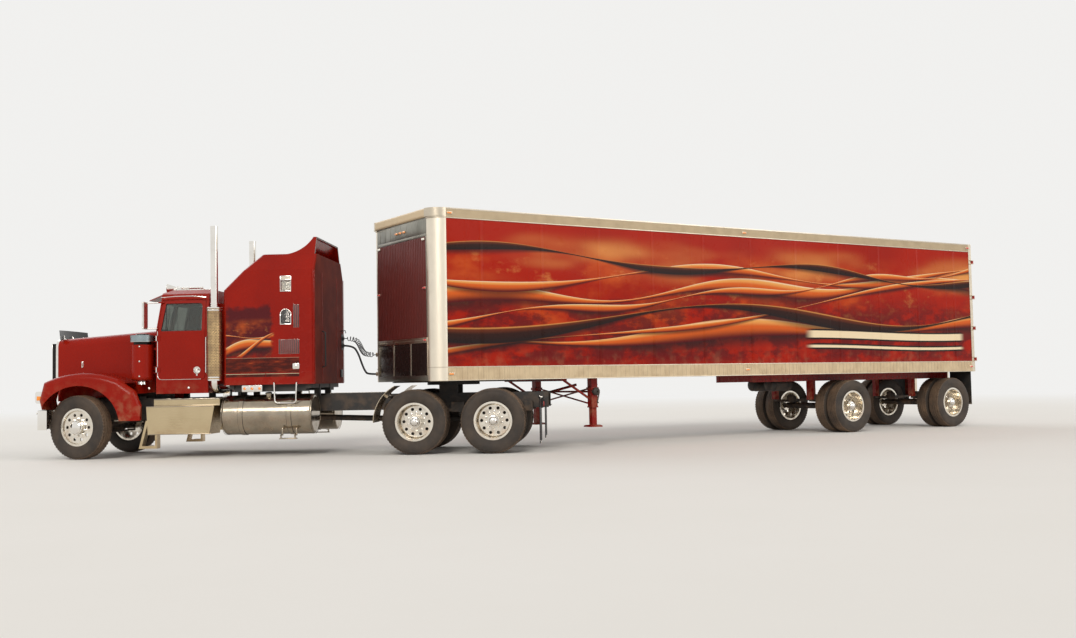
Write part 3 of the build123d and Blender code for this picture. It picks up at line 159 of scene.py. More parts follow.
class Graph:
    """The nodes of a new material, or of the world where it is given."""

    def __init__(self, name, owner=None):
        self.owner = owner or bpy.data.materials.new(name)
        self.owner.use_nodes = True
        self.tree = self.owner.node_tree
        self.shader = self.tree.nodes.get("Principled BSDF")
        self.place = None

    def put(self, socket, value):
        if isinstance(value, Wire):
            self.tree.links.new(value.socket, socket)
        elif hasattr(value, "__len__") and len(value) == 3 and socket.type == "RGBA":
            socket.default_value = (*value, 1)
        else:
            socket.default_value = value

    def node(self, kind, settings=(), inputs=()):
        """A node of a type: its settings are made first, then the values or links of its sockets."""
        made = self.tree.nodes.new(kind)
        for name, value in dict(settings).items():
            setattr(made, name, value)
        for socket, value in dict(inputs).items():
            self.put(made.inputs[socket], value)
        return made

    def wire(self, kind, settings=(), inputs=(), output=0):
        """An output of a new node."""
        return Wire(self, self.node(kind, settings, inputs).outputs[output])

    def math(self, operation, a, b=0.0):
        return self.wire("ShaderNodeMath", {"operation": operation}, {0: a, 1: b})

    def row(self):
        """The place in the row frame, in metres, as one vector."""
        if self.place is None:
            self.place = self.wire("ShaderNodeTexCoord", output="Object")
        return self.place

    def axes(self, matrix=None):
        """X, Y and Z of the place in a working frame's millimetres; without a frame, in the row's metres."""
        made = self.node("ShaderNodeSeparateXYZ", inputs={"Vector": self.row()})
        x, y, z = (Wire(self, made.outputs[i]) for i in range(3))
        if matrix is None:
            return x, y, z
        turned = [x * row[0] + y * row[1] + row[3] for row in matrix.inverted()[:2]]
        return turned[0], turned[1], z * 1000

    def joined(self, x, y, z):
        """One vector from three values."""
        return self.wire("ShaderNodeCombineXYZ", inputs={"X": x, "Y": y, "Z": z})

    def noise(self, scale, detail, rough=0.55, at=None, stretch=None):
        """Soft noise over a place, which stretch multiplies along each axis first."""
        at = at or self.row()
        if stretch:
            at = self.wire("ShaderNodeVectorMath", {"operation": "MULTIPLY"}, {0: at, 1: stretch})
        sockets = {"Vector": at, "Scale": scale, "Detail": detail, "Roughness": rough}
        return self.wire("ShaderNodeTexNoise", inputs=sockets, output="Fac")

    def mix(self, part, a, b):
        """Colour a where part is 0, and b where it is 1."""
        return self.wire("ShaderNodeMix", {"data_type": "RGBA"}, {"Factor": part, "A": a, "B": b}, "Result")

    def darker(self, part, tint, factor):
        """A tint, multiplied by the factor where part is 1."""
        return self.mix(part, tint, tuple(c * factor for c in tint))

    def bump(self, height, depth, over=None):
        """Relief of that depth in metres, on top of another relief if one is given."""
        sockets = {"Height": height, "Distance": depth}
        if over:
            sockets["Normal"] = over
        return self.wire("ShaderNodeBump", inputs=sockets)

    def fed(self, name):
        """What already feeds an input of the shader."""
        return Wire(self, self.shader.inputs[name].links[0].from_socket)

    def set(self, **inputs):
        for name, value in inputs.items():
            self.put(self.shader.inputs[name.replace("_", " ")], value)
        return self.owner


# Materials
red = (0.29, 0.009, 0.002)
deep_red = (0.15, 0.004, 0.003)
maroon = (0.085, 0.008, 0.010)
orange = (0.60, 0.11, 0.018)
gold = (0.74, 0.33, 0.09)
cream = (0.80, 0.66, 0.44)
near_black = (0.018, 0.012, 0.012)
dust = (0.40, 0.24, 0.13)
bright = (0.86, 0.83, 0.78)
coal = (0.014, 0.012, 0.012)


def ribbons(graph, colour, u, v, table, tones=(maroon, orange, gold, cream)):
    """Airbrushed ribbons over a colour: each bends along u and runs from a dark lower to a pale upper edge."""
    lowest, middle_tone, upper, edge = tones
    for rise, slope, sway, wave, phase, width, swell, pale in table:
        centre = graph.math("SINE", u * wave + phase) * sway + u * slope + rise
        half = graph.math("SINE", u * swell + phase * 1.7) * (width * 0.45) + width * 0.55
        across = (v - centre) / half
        shadow = across.above(-2.6, -1.0) * across.below(-1.0, -0.9) * 0.75
        colour = graph.mix(shadow, colour, near_black)
        body = graph.mix(across.above(-1.0, 0.1), lowest, middle_tone)
        body = graph.mix(across.above(0.1, 0.75), body, upper)
        body = graph.mix(across.above(0.72, 1.0) * pale, body, edge)
        colour = graph.mix(across.between(-1.0, 1.0, 0.06), colour, body)
    return colour


def clouds(graph, colour, at, v, low, high, stretch):
    """Soft orange clouds in a band of v, and dark mottling below them."""
    wide = graph.noise(0.9, 5, 0.6, at, stretch)
    fine = graph.noise(2.6, 6, 0.65, at, stretch)
    band = v.above(low - 0.05, low + 0.12) * v.below(high - 0.2, high)
    colour = graph.mix(wide.above(0.44, 0.68) * band * 0.62, colour, orange)
    colour = graph.mix(fine.above(0.56, 0.74) * band * 0.5, colour, gold)
    dark = v.above(-0.05, 0.08) * v.below(0.34, 0.62)
    return graph.mix(fine.above(0.40, 0.56) * dark * 0.78, colour, maroon)


def finish_paint(graph, colour, z):
    """Clear gloss over a colour, with road dust low down and a faint waviness."""
    grain, coat = graph.noise(7, 4), 0.12
    low = z.below(500, 1500) * grain.above(0.42, 0.75) * 0.5
    ripple = graph.bump(graph.noise(90, 2), 0.00025, graph.bump(graph.noise(1.3, 1), 0.004))
    graph.set(Base_Color=graph.mix(low, colour, dust), Roughness=grain * 0.10 + low * 0.4 + 0.22, Normal=ripple,
              Coat_Weight=coat - low * coat, Coat_Roughness=0.04, Specular_IOR_Level=0.1)


def paint(name, matrix, tint=red, layers=()):
    """Gloss paint; each layer (where, tint, metallic, roughness) covers a part of it with another finish."""
    graph = Graph(name)
    x, y, z = graph.axes(matrix)
    places = (x, y, z, graph.math("ABSOLUTE", y))
    finish_paint(graph, graph.darker(graph.noise(1.1, 3).above(0.35, 0.7) * 0.35, tint, 0.62), z)
    colour, rough, metallic = graph.fed("Base Color"), graph.fed("Roughness"), 0.0
    for where, layer_tint, layer_metallic, layer_rough in layers:
        part, cloud = where(places), graph.noise(14, 4)
        colour = graph.mix(part, colour, graph.darker(cloud.above(0.35, 0.75) * 0.35, layer_tint, 0.6))
        rough = rough * (1 - part) + part * (cloud * 0.12 + layer_rough)
        metallic = part * layer_metallic + (1 - part) * metallic
    return graph.set(Base_Color=colour, Roughness=rough, Metallic=metallic)


# Where a layer of paint goes: axis 0, 1 or 2, or 3 for the distance from the centre line, in millimetres
soft_edge = 1.5


def beyond(axis, value):
    return lambda places: places[axis].above(value - soft_edge, value + soft_edge)


def short_of(axis, value):
    return lambda places: places[axis].below(value - soft_edge, value + soft_edge)


def within(axis, low, high):
    return lambda places: places[axis].between(low, high, soft_edge)


def shield_metal():
    """The stacks: bright pipes, and shields with staggered round holes, tinted gold-brown as a painted
    reflection and painted near-black in the holes as painted shade.
    """
    graph = Graph("stack_metal")
    x, y, z = graph.axes(TRACTOR)
    angle = graph.math("ARCTAN2", y - graph.math("SIGN", y) * stack_y, x - stack_x)
    shield_r, hole_step, row_step = 125, 26.2, 26.0
    across, up = angle * (shield_r / hole_step), z / row_step
    odd = graph.math("FLOOR", up).saw(2.0).above(0.2, 0.3) * 0.5
    a, b = (across + odd).saw(1.0) - 0.5, up.saw(1.0) - 0.5
    hole = graph.math("SQRT", a * a + b * b).below(0.24, 0.30)
    shield = z.between(1322, 2528, 1)
    cloud = graph.noise(5, 5)
    pipe = graph.mix(cloud.above(0.35, 0.7) * 0.2, bright, (0.5, 0.47, 0.42))
    # Painted reflection: the shields' gold-brown tint stands for what the chrome mirrors.
    shield_reflection_and_hole_shade = graph.mix(cloud.above(0.35, 0.7), (0.62, 0.43, 0.22), (0.40, 0.27, 0.15))
    # Painted shade: the holes are painted near-black.
    shield_reflection_and_hole_shade = graph.mix(hole, shield_reflection_and_hole_shade, (0.03, 0.02, 0.015))
    dark = shield * hole
    return graph.set(Base_Color=graph.mix(shield, pipe, shield_reflection_and_hole_shade), Metallic=1 - dark * 0.9,
                     Roughness=cloud * 0.1 + shield * 0.18 + dark * 0.3 + 0.05,
                     Normal=graph.bump(1 - dark, 0.003, graph.bump(cloud, 0.0006)))


def step_metal():
    """Sheet aluminium, brushed along its length, with raised bars on its treads; its tan tint is a painted
    reflection of the ground, and it is dusted low down.
    """
    graph = Graph("step_tread")
    x, y, z = graph.axes(TRACTOR)
    a, b = graph.math("SINE", (x + y) * 0.16), graph.math("SINE", (x - y) * 0.16)
    bars = (a * a * a * a * b).above(0.3, 0.7) + (b * b * b * b * a).above(0.3, 0.7)
    brush, cloud = graph.noise(55, 3, 0.6, None, (0.05, 0.05, 1)), graph.noise(2.4, 4)
    # Painted reflection: the tan tint stands for the ground mirrored in the aluminium.
    colour = graph.mix(cloud.above(0.35, 0.75) * 0.45, (0.56, 0.45, 0.28), (0.38, 0.29, 0.165))
    colour = graph.mix(z.below(330, 620) * cloud.above(0.4, 0.7) * 0.6, colour, dust)
    return graph.set(Base_Color=colour, Roughness=brush * 0.14 + cloud * 0.08 + 0.14, Metallic=0.95,
                     Normal=graph.bump(bars * z.between(990, 1050, 3), 0.002, graph.bump(brush, 0.0004)))


def sleeper_paint():
    """Red, with a panel of ribbons low on each side, a dark locker and pinstripes; darker and dull at the back,
    where the darker colour is painted shade.
    """
    graph = Graph("sleeper_paint")
    x, y, z = graph.axes(TRACTOR)
    side = graph.math("ABSOLUTE", y).above(1119, 1123)
    base = graph.mix(graph.noise(1.1, 3).above(0.35, 0.7) * 0.35, red, deep_red)
    u, v = (3720 - x) / 1000, (z - 1560) / 800
    at = graph.joined(u, 0.0, v)
    art = clouds(graph, maroon, at, v, 0.1, 1.0, (2.2, 1, 3.0))
    art = ribbons(graph, art, u, v, [
        (0.20, 0.35, 0.10, 4.2, 0.4, 0.10, 2.4, 1.0), (0.52, 0.22, 0.12, 3.4, 2.2, 0.07, 3.1, 1.0),
        (0.05, 0.62, 0.08, 5.0, 4.0, 0.05, 3.9, 0.8)])
    ragged = graph.noise(5, 4, 0.6, at) * 0.35
    panel = (u + ragged).between(0.20, 1.00, 0.05) * (v + ragged).between(0.34, 1.38, 0.06) * side
    colour = graph.mix(panel, base, art)
    long = x.between(2430, 3722, 3)
    smoke = graph.noise(2.2, 5, 0.6, at, (1.6, 1, 5.0))
    dim = graph.mix(smoke.above(0.42, 0.66), (0.030, 0.008, 0.006), (0.15, 0.020, 0.008))
    dim = graph.mix(smoke.above(0.62, 0.76) * 0.6, dim, orange)
    colour = graph.mix(long * z.between(1344, 1664, 3) * side * 0.9, colour, dim)
    stripes = z.between(1392, 1401, 1.5) + z.between(1664, 1670, 1.0) * 0.5
    colour = graph.mix(stripes * side * long * 0.7, colour, cream)
    back = x.below(2166, 2169)
    # Painted shade: the back face is painted a darker, mottled red; it is also rougher and has no coat.
    painted_back_shade = graph.mix(graph.noise(3, 4).above(0.3, 0.7), (0.17, 0.030, 0.014), (0.09, 0.018, 0.010))
    finish_paint(graph, graph.mix(back * 0.8, colour, painted_back_shade), z)
    return graph.set(Roughness=graph.fed("Roughness") + back * 0.45,
                     Coat_Weight=graph.fed("Coat Weight") * (1 - back))


def mural_paint():
    """The trailer's sides: airbrushed clouds and long ribbons that sweep up to the rear, and twin stripes."""
    graph = Graph("mural_paint")
    x, y, z = graph.axes(TRAILER)
    u, v = (nose_x - x) / 1000, (z - 1455) / 2480
    at = graph.joined(u, graph.math("SIGN", y) * 3.0, v)
    base = graph.mix(graph.noise(0.6, 3).above(0.35, 0.7) * 0.3, (0.36, 0.014, 0.004), deep_red)
    colour = clouds(graph, base, at, v, 0.22, 0.92, (0.55, 1, 2.6))
    haze = graph.noise(0.8, 2, 0.4, at, (0.5, 1, 4.0)).above(0.50, 0.80)
    colour = graph.mix(haze * (v.above(0.56, 0.70) * v.below(0.80, 0.97)) * 0.85, colour, gold)
    colour = ribbons(graph, colour, u, v, [
        (0.44, 0.020, 0.050, 1.15, 0.6, 0.060, 0.9, 0.95), (0.16, 0.012, 0.040, 0.85, 2.0, 0.075, 0.7, 0.35),
        (0.60, 0.012, 0.070, 0.75, 3.6, 0.035, 1.3, 1.0), (0.30, 0.038, 0.030, 1.5, 5.0, 0.028, 1.7, 1.0),
        (0.05, 0.050, 0.045, 0.6, 1.0, 0.022, 1.1, 0.9)])
    ink = (near_black, (0.030, 0.012, 0.010), (0.12, 0.028, 0.012), gold)
    colour = ribbons(graph, colour, u, v, [
        (0.30, 0.008, 0.10, 0.62, 4.1, 0.055, 0.8, 0.8), (0.79, -0.006, 0.05, 0.9, 0.2, 0.030, 1.5, 0.7)], ink)
    rear = u.above(8.4, 8.7) * u.below(13.2, 13.4)
    for middle, half in ((0.225, 0.030), (0.125, 0.012)):
        gap = graph.math("ABSOLUTE", v - (graph.math("SINE", u * 0.9) * 0.012 + middle))
        colour = graph.mix(gap.below(half + 0.010, half + 0.016) * rear, colour, near_black)
        colour = graph.mix(gap.below(half - 0.004, half + 0.002) * rear, colour, cream)
    colour = graph.mix(x.above(880, 900), colour, maroon)
    colour = graph.mix(x.above(nose_x + 1, nose_x + 3) * z.above(3950, 3956), colour, (0.66, 0.52, 0.34))
    seam = (u / (seam_step / 1000)).saw(1.0).between(0.485, 0.515, 0.006)
    grain = graph.noise(6, 4)
    low = z.below(1300, 1900) * grain.above(0.45, 0.8) * 0.3
    return graph.set(Base_Color=graph.mix(low, colour, dust), Roughness=grain * 0.14 + low * 0.4 + 0.22,
                     Normal=graph.bump(graph.noise(1.6, 2), 0.006, graph.bump(seam, 0.0025)),
                     Coat_Weight=0.07, Coat_Roughness=0.05, Specular_IOR_Level=0.06)


def metal(name, tint, rough, wave, spots, dirt=0.0, streak=(1, 1, 0.06)):
    """Polished or brushed metal: a clouded tint, fine streaks, and dirt low down."""
    graph = Graph(name)
    x, y, z = graph.axes()
    cloud, line = graph.noise(3.2, 5), graph.noise(60, 3, 0.6, None, streak)
    low = z.below(0.2, 1.3) * graph.noise(9, 4).above(0.4, 0.75) * dirt
    colour = graph.mix(low, graph.darker(cloud.above(0.35, 0.7) * spots, tint, 0.55), dust)
    rough = line * (rough * 0.7) + cloud * (rough * 0.6) + rough * 0.4 + low * 0.5
    return graph.set(Base_Color=colour, Roughness=rough, Metallic=1 - low * 0.9,
                     Normal=graph.bump(line, wave, graph.bump(cloud, wave * 6)))


def dull(name, tint, rough, dusty, scale=12, relief=0.0008):
    """Plain coated or cast surface with a grain, worn lighter in patches and dusted low down."""
    graph = Graph(name)
    x, y, z = graph.axes()
    grain, patch = graph.noise(scale * 8, 4), graph.noise(scale / 3, 4)
    colour = graph.mix(patch.above(0.4, 0.75) * 0.4, tint, tuple(min(1, c * 1.7 + 0.01) for c in tint))
    low = z.below(0.3, 1.6) * graph.noise(scale, 4).above(0.38, 0.7) * dusty
    return graph.set(Base_Color=graph.mix(low, colour, dust), Roughness=grain * 0.2 + rough * 0.85,
                     Normal=graph.bump(grain, relief))


def rubber(name, dusty):
    """Tyre rubber: blotched charcoal with dust in the blotches."""
    graph = Graph(name)
    grain, blotch = graph.noise(40, 4), graph.noise(2.5, 6, 0.65)
    colour = graph.mix(blotch.above(0.3, 0.75) * 0.6, (0.016, 0.014, 0.013), (0.040, 0.034, 0.029))
    colour = graph.mix(blotch.above(0.25, 0.85) * dusty + dusty * 0.2, colour, dust)
    return graph.set(Base_Color=colour, Roughness=grain * 0.25 + 0.6, Normal=graph.bump(grain, 0.0006))


def glass(name, tint, rear_tint=None):
    """Clear glazing with faint smears; rear_tint is for the panes behind the cab."""
    graph = Graph(name)
    smear = graph.noise(4, 4)
    if rear_tint:
        x, y, z = graph.axes(TRACTOR)
        tint = graph.mix(x.above(3600, 3700), rear_tint, tint)
    return graph.set(Base_Color=graph.mix(smear.above(0.45, 0.8) * 0.15, tint, dust),
                     Roughness=smear * 0.06 + 0.01, Transmission_Weight=0.9, IOR=1.45)


def lens(name, tint, glow=0.25):
    """A moulded lamp lens with fine ribs."""
    graph = Graph(name)
    x, y, z = graph.axes()
    colour = graph.darker(graph.noise(30, 2).above(0.4, 0.7) * 0.4, tint, 0.6)
    return graph.set(Base_Color=colour, Roughness=graph.noise(20, 2) * 0.1 + 0.08, Coat_Weight=0.5,
                     Emission_Color=colour, Emission_Strength=glow,
                     Normal=graph.bump(graph.math("SINE", z * 900), 0.0008))


def wood(name, board_wide=150.0):
    """Laminated floor boards along the trailer."""
    graph = Graph(name)
    x, y, z = graph.axes(TRAILER)
    grain = graph.noise(9, 6, 0.6, None, (0.12, 1.6, 1))
    gap = y.saw(board_wide).above(0.97, 0.99)
    colour = graph.mix(grain.above(0.3, 0.7), (0.30, 0.17, 0.08), (0.16, 0.085, 0.04))
    return graph.set(Base_Color=graph.mix(gap, colour, near_black), Roughness=grain * 0.2 + 0.5,
                     Normal=graph.bump(grain - gap, 0.001))


def ribbed(name, tint, axis, pitch, depth, rough, metallic, dirt=0.2, top=9000):
    """The trailer's pressed sheet, ribbed a pitch apart along one axis, and plain above top, where it is also
    painted darker as painted shade.
    """
    graph = Graph(name)
    place = graph.axes(TRAILER)
    plain_and_shaded_top = place[2].above(top, top + 20)
    rib = place[axis].saw(pitch).between(0.3, 0.7, 0.12) * (1 - plain_and_shaded_top)
    cloud = graph.noise(4, 5)
    colour = graph.darker(cloud.above(0.35, 0.7) * 0.35, tint, 0.6)
    colour = graph.mix(place[2].below(900, 1700) * cloud.above(0.4, 0.7) * dirt, colour, dust)
    # Painted shade: above top the sheet is painted darker, which tones down the bright sky it mirrors there.
    colour = graph.mix(plain_and_shaded_top * 0.5, colour, tuple(c * 0.35 for c in tint))
    return graph.set(Base_Color=colour, Roughness=cloud * 0.2 + rough, Metallic=metallic,
                     Normal=graph.bump(rib, depth))


def fabric(name, tint, pitch=0.004):
    """Woven seat cloth."""
    graph = Graph(name)
    x, y, z = graph.axes()
    turns = 2 * pi / pitch
    weave = graph.math("SINE", (x + z) * turns) * graph.math("SINE", (y + z) * turns)
    patch = graph.noise(8, 3)
    return graph.set(Base_Color=graph.darker(patch.above(0.3, 0.7) * 0.5, tint, 0.55),
                     Roughness=patch * 0.1 + 0.8, Sheen_Weight=0.3, Normal=graph.bump(weave, 0.0006))


chrome = metal("bright_chrome", bright, 0.05, 0.0001, 0.12)
polished = metal("polished_aluminium", (0.40, 0.345, 0.27), 0.14, 0.0003, 0.6, 0.35, streak=(0.06, 0.06, 1))
wheel_metal = metal("wheel_metal", (0.82, 0.77, 0.68), 0.18, 0.0003, 0.3, 0.45)
trim = metal("trailer_aluminium", (0.66, 0.58, 0.46), 0.30, 0.0004, 0.3, 0.2)
bright_post = metal("bright_post", (0.84, 0.76, 0.63), 0.34, 0.0003, 0.15)
grey_sheet = metal("grey_sheet", (0.30, 0.29, 0.25), 0.34, 0.0004, 0.5)
cleaner_metal = metal("cleaner_metal", (0.62, 0.60, 0.56), 0.12, 0.0002, 0.3)
plain_paint = paint("cab_paint", TRACTOR)
cab_paint = paint("cab_finish", TRACTOR, red, [(beyond(2, 2885), bright, 1, 0.05)])
door_paint = paint("door_finish", TRACTOR, red, [(beyond(3, 1006), bright, 1, 0.06)])
cleaner_paint = paint("cleaner_finish", TRACTOR, red, [(within(2, 1938, 1989), coal, 0, 0.3),
                                                       (beyond(2, 1989), (0.30, 0.36, 0.38), 0.8, 0.22)])
guard_finish = paint("guard_finish", TRACTOR, coal, [(beyond(0, -300), (0.66, 0.56, 0.42), 0.9, 0.2),
                                                     (short_of(0, -300), coal, 0, 0.55)])
grille_finish = paint("grille_finish", TRACTOR, red, [(short_of(0, 6946), bright, 1, 0.05),
                                                      (beyond(0, 6946), coal, 0, 0.3)])
wing_paint = paint("wing_finish", TRACTOR, red, [(short_of(0, 2196), (0.20, 0.17, 0.16), 0.2, 0.4)])
gear_paint = paint("running_gear_paint", TRAILER, (0.24, 0.012, 0.009))
black_gloss = paint("black_gloss", TRAILER, (0.020, 0.011, 0.010))
stack_metal, step_tread, sleeper_coat, mural = shield_metal(), step_metal(), sleeper_paint(), mural_paint()
nose_paint = ribbed("nose_paint", (0.115, 0.014, 0.010), 1, rib_step, 0.001, 0.42, 0.0, dirt=0.0)
# The rails are painted darker above 2000 mm, on the top rail: painted shade.
side_ribs = ribbed("side_ribs", (0.60, 0.47, 0.30), 0, 102.0, 0.006, 0.36, 0.6, dirt=0.35, top=2000)
roof_skin = ribbed("roof_skin", (0.46, 0.435, 0.39), 0, seam_step, 0.004, 0.55, 0.3)
rear_door_paint = ribbed("rear_door_paint", (0.34, 0.011, 0.008), 1, 400.0, 0.003, 0.3, 0.0, dirt=0.1)
blind = dull("window_blind", (0.62, 0.56, 0.46), 0.6, 0.0, 30, 0.0003)
chassis = dull("chassis_steel", (0.018, 0.016, 0.015), 0.6, 0.22, 6)
engine_iron = dull("engine_iron", (0.06, 0.055, 0.05), 0.7, 0.3)
axle_steel = dull("axle_steel", (0.030, 0.024, 0.020), 0.65, 0.35, 6)
black_trim = dull("black_trim", (0.012, 0.012, 0.013), 0.45, 0.1, 20, 0.0003)
flap = dull("flap_rubber", (0.014, 0.014, 0.014), 0.75, 0.12, 6)
line_rubber = dull("line_rubber", (0.02, 0.02, 0.022), 0.5, 0.0, 60, 0.0003)
cabin = dull("cabin_trim", (0.10, 0.035, 0.028), 0.75, 0.0, 18, 0.0006)
smoked = dull("smoked_plastic", (0.010, 0.012, 0.012), 0.22, 0.0, 10, 0.0002)
seat_cloth = fabric("seat_cloth", (0.12, 0.022, 0.020))
tyre, tread_rubber = rubber("tyre_rubber", 0.10), rubber("tread_rubber", 0.42)
# The cab's panes are tinted dark grey-green as painted shade, for the dark inside seen through them.
window = glass("window_glass", (0.34, 0.37, 0.34), rear_tint=(0.97, 0.97, 0.95))
lamp_glass = glass("lamp_glass", (0.92, 0.92, 0.88))
amber = lens("amber_lens", (0.85, 0.26, 0.02))
lamp_red = lens("red_lens", (0.60, 0.015, 0.012))
white_lens = lens("white_lens", (0.85, 0.82, 0.74), glow=0.35)
deck_wood = wood("floor_wood")

finishes = {
    "frame": chassis, "front_axle": axle_steel, "engine": engine_iron, "bumper": chrome, "cab": cab_paint,
    "cab_interior": cabin, "windows": window, "sleeper": sleeper_coat, "sleeper_wing": wing_paint,
    "exhaust_stacks": stack_metal, "air_cleaners": cleaner_paint, "fuel_tanks": polished,
    "step_boxes": step_tread, "drive_axles": axle_steel, "fifth_wheel": chassis, "splash_guards": guard_finish,
    "hood": plain_paint, "grille": grille_finish, "headlamps": chrome, "tie_rod": axle_steel,
    "trailer_floor": deck_wood, "trailer_walls": mural, "trailer_rails": side_ribs, "trailer_roof": roof_skin,
    "rear_frame": trim, "coupler": chassis, "landing_gear": gear_paint, "trailer_subframe": gear_paint,
    "trailer_axles": axle_steel, "trailer_flaps": flap, "coiled_line": line_rubber, "wrapped_hose": line_rubber}
for hand, side in hands:
    for name, material in (("door", door_paint), ("door_glass", window), ("knuckle", axle_steel),
                           ("steer_tyre", tyre), ("steer_wheel", wheel_metal), ("rear_door", rear_door_paint)):
        finishes[f"{name}_{hand}"] = material
    for row, x in wheel_rows:
        finishes[f"{row}_tyres_{hand}"] = tyre
        finishes[f"{row}_wheels_{hand}"] = wheel_metal
for name, material in finishes.items():
    nodes[name].data.materials.clear()
    nodes[name].data.materials.append(material)


# Shapes: a form gathers faces in a working frame, then becomes one piece
def circle(at, side, other, radius, parts):
    """Points round a centre, in the plane of two crossing directions."""
    return [at + (side * cos(2 * pi * k / parts) + other * sin(2 * pi * k / parts)) * radius
            for k in range(parts)]


def bands(rings, parts, closed=False):
    """Faces between rings of so many points, from ring to ring."""
    return [(i * parts + k, i * parts + (k + 1) % parts, (i + 1) % rings * parts + (k + 1) % parts,
             (i + 1) % rings * parts + k) for i in range(rings if closed else rings - 1) for k in range(parts)]


def frames_along(line):
    """Each point of a line with two directions across it that don't twist."""
    side, made = None, []
    for i, at in enumerate(line):
        ahead = (line[min(i + 1, len(line) - 1)] - line[max(i - 1, 0)]).normalized()
        side = ahead.orthogonal() if side is None else side - ahead * side.dot(ahead)
        side.normalize()
        made.append((at, side.copy(), ahead.cross(side)))
    return made


def placed(name, data):
    """A new object in the scene that shows the data."""
    made = bpy.data.objects.new(name, data)
    bpy.context.scene.collection.objects.link(made)
    return made


def frame_of(body):
    """The working frame that the pieces of a body are drawn in."""
    if body.startswith("steer_wheel"):
        return steered(1 if body.endswith("left") else -1)
    return TRAILER if body.startswith(("trailer", "rear_door")) else TRACTOR


class Form:
    """Everything is given for the left side, and is drawn mirrored while side is -1."""

    def __init__(self, side=1):
        self.points, self.faces, self.finishes = [], [], []
        self.current, self.side = 0, side

    def both_sides(self):
        """Draws what the loop holds on the left, then on the right."""
        for self.side in (1, -1):
            yield self.side
        self.side = 1

    def at(self, point):
        """A point or direction given for the left, on the side that is being drawn."""
        return Vector((point[0], point[1] * self.side, point[2]))

    def add(self, points, faces):
        base = len(self.points)
        self.points += [Vector(p) for p in points]
        self.faces += [tuple(base + i for i in face) for face in faces]
        self.finishes += [self.current] * len(faces)
        return self

    def use(self, index):
        """Draws in the piece's finish of that number from here on."""
        self.current = index
        return self

    def block(self, x, y, z):
        """A box between a low and a high value on each axis."""
        x, y, z = sorted(x), sorted(b * self.side for b in y), sorted(z)
        corners = [(a, b, c) for a in x for b in y for c in z]
        return self.add(corners, [(0, 1, 3, 2), (4, 6, 7, 5), (0, 4, 5, 1), (2, 3, 7, 6), (0, 2, 6, 4),
                                  (1, 5, 7, 3)])

    def lathe(self, profile, start, axis, parts=24, closed=False):
        """A turned shape: profile is (along, radius) from start along axis; a radius of 0 closes an end."""
        start, axis = self.at(start), self.at(axis).normalized()
        side = axis.orthogonal().normalized()
        other = axis.cross(side)
        points, rings, faces = [], [], []
        for along, radius in profile:
            ring = circle(start + axis * along, side, other, radius, parts if radius > 0 else 1)
            rings.append(range(len(points), len(points) + len(ring)))
            points += ring
        for a, b in list(zip(rings, rings[1:])) + ([(rings[-1], rings[0])] if closed else []):
            for i in range(parts if len(a) + len(b) > 2 else 0):
                j = (i + 1) % parts
                if len(a) == 1:
                    faces.append((a[0], b[j], b[i]))
                elif len(b) == 1:
                    faces.append((a[i], a[j], b[0]))
                else:
                    faces.append((a[i], a[j], b[j], b[i]))
        return self.add(points, faces)

    def rod(self, start, end, radius, parts=12):
        """A solid round bar between two points."""
        run = Vector(end) - Vector(start)
        return self.lathe([(0, 0), (0, radius), (run.length, radius), (run.length, 0)], start, run, parts)

    def ring(self, inner, outer, low, high, start, axis, parts=24):
        """A flat band between two radii and two places along an axis."""
        return self.lathe([(low, inner), (low, outer), (high, outer), (high, inner)], start, axis, parts, True)

    def tube(self, path, radius, parts=8):
        """A round bar along a line of points, closed at its ends; radius may be a list."""
        frames = frames_along([self.at(p) for p in path])
        radii = radius if isinstance(radius, list) else [radius] * len(path)
        points = [p for frame, r in zip(frames, radii) for p in circle(*frame, r, parts)]
        ends = [tuple(reversed(range(parts))), tuple(range(len(points) - parts, len(points)))]
        return self.add(points, bands(len(path), parts) + ends)

    def slab(self, outline, low, high):
        """A flat shape between two values along its third axis: outline gives its corners at a value."""
        count = len(outline(low))
        ends = [tuple(reversed(range(count))), tuple(range(count, 2 * count))]
        return self.add(outline(low) + outline(high), ends + bands(2, count))

    def side_slab(self, outline, y):
        """A flat shape given in X and Z between two values of Y."""
        return self.slab(lambda c: [(a, c, b) for a, b in outline], *sorted(c * self.side for c in y))

    def end_slab(self, outline, x):
        """A flat shape given in Y and Z between two values of X."""
        return self.slab(lambda c: [(c, a * self.side, b) for a, b in outline], *sorted(x))

    def solid(self, name, matrix, materials, bevel=0.0, angle=0.6):
        """The form as an object of its own, on no body yet."""
        bm = bmesh.new()
        made = [bm.verts.new(matrix @ p) for p in self.points]
        for face, finish in zip(self.faces, self.finishes):
            bm.faces.new([made[i] for i in face]).material_index = finish
        bmesh.ops.recalc_face_normals(bm, faces=bm.faces)
        if bevel:
            edges = [e for e in bm.edges if len(e.link_faces) == 2 and e.calc_face_angle(0) > 0.7]
            bmesh.ops.bevel(bm, geom=edges, offset=bevel / 1000, segments=2, profile=0.5, affect="EDGES",
                            clamp_overlap=True)
        mesh = bpy.data.meshes.new(name)
        bm.to_mesh(mesh)
        bm.free()
        mesh.polygons.foreach_set("use_smooth", [True] * len(mesh.polygons))
        mesh.set_sharp_from_angle(angle=angle)
        for material in materials if isinstance(materials, tuple) else [materials]:
            mesh.materials.append(material)
        return placed(name, mesh)

    def make(self, name, body, materials, slot=None, bevel=0.0, angle=0.6):
        """The form as a piece that rides a body, drawn in the working frame of that body."""
        piece = self.solid(name, frame_of(body), materials, bevel, angle)
        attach(piece, body)
        return piece


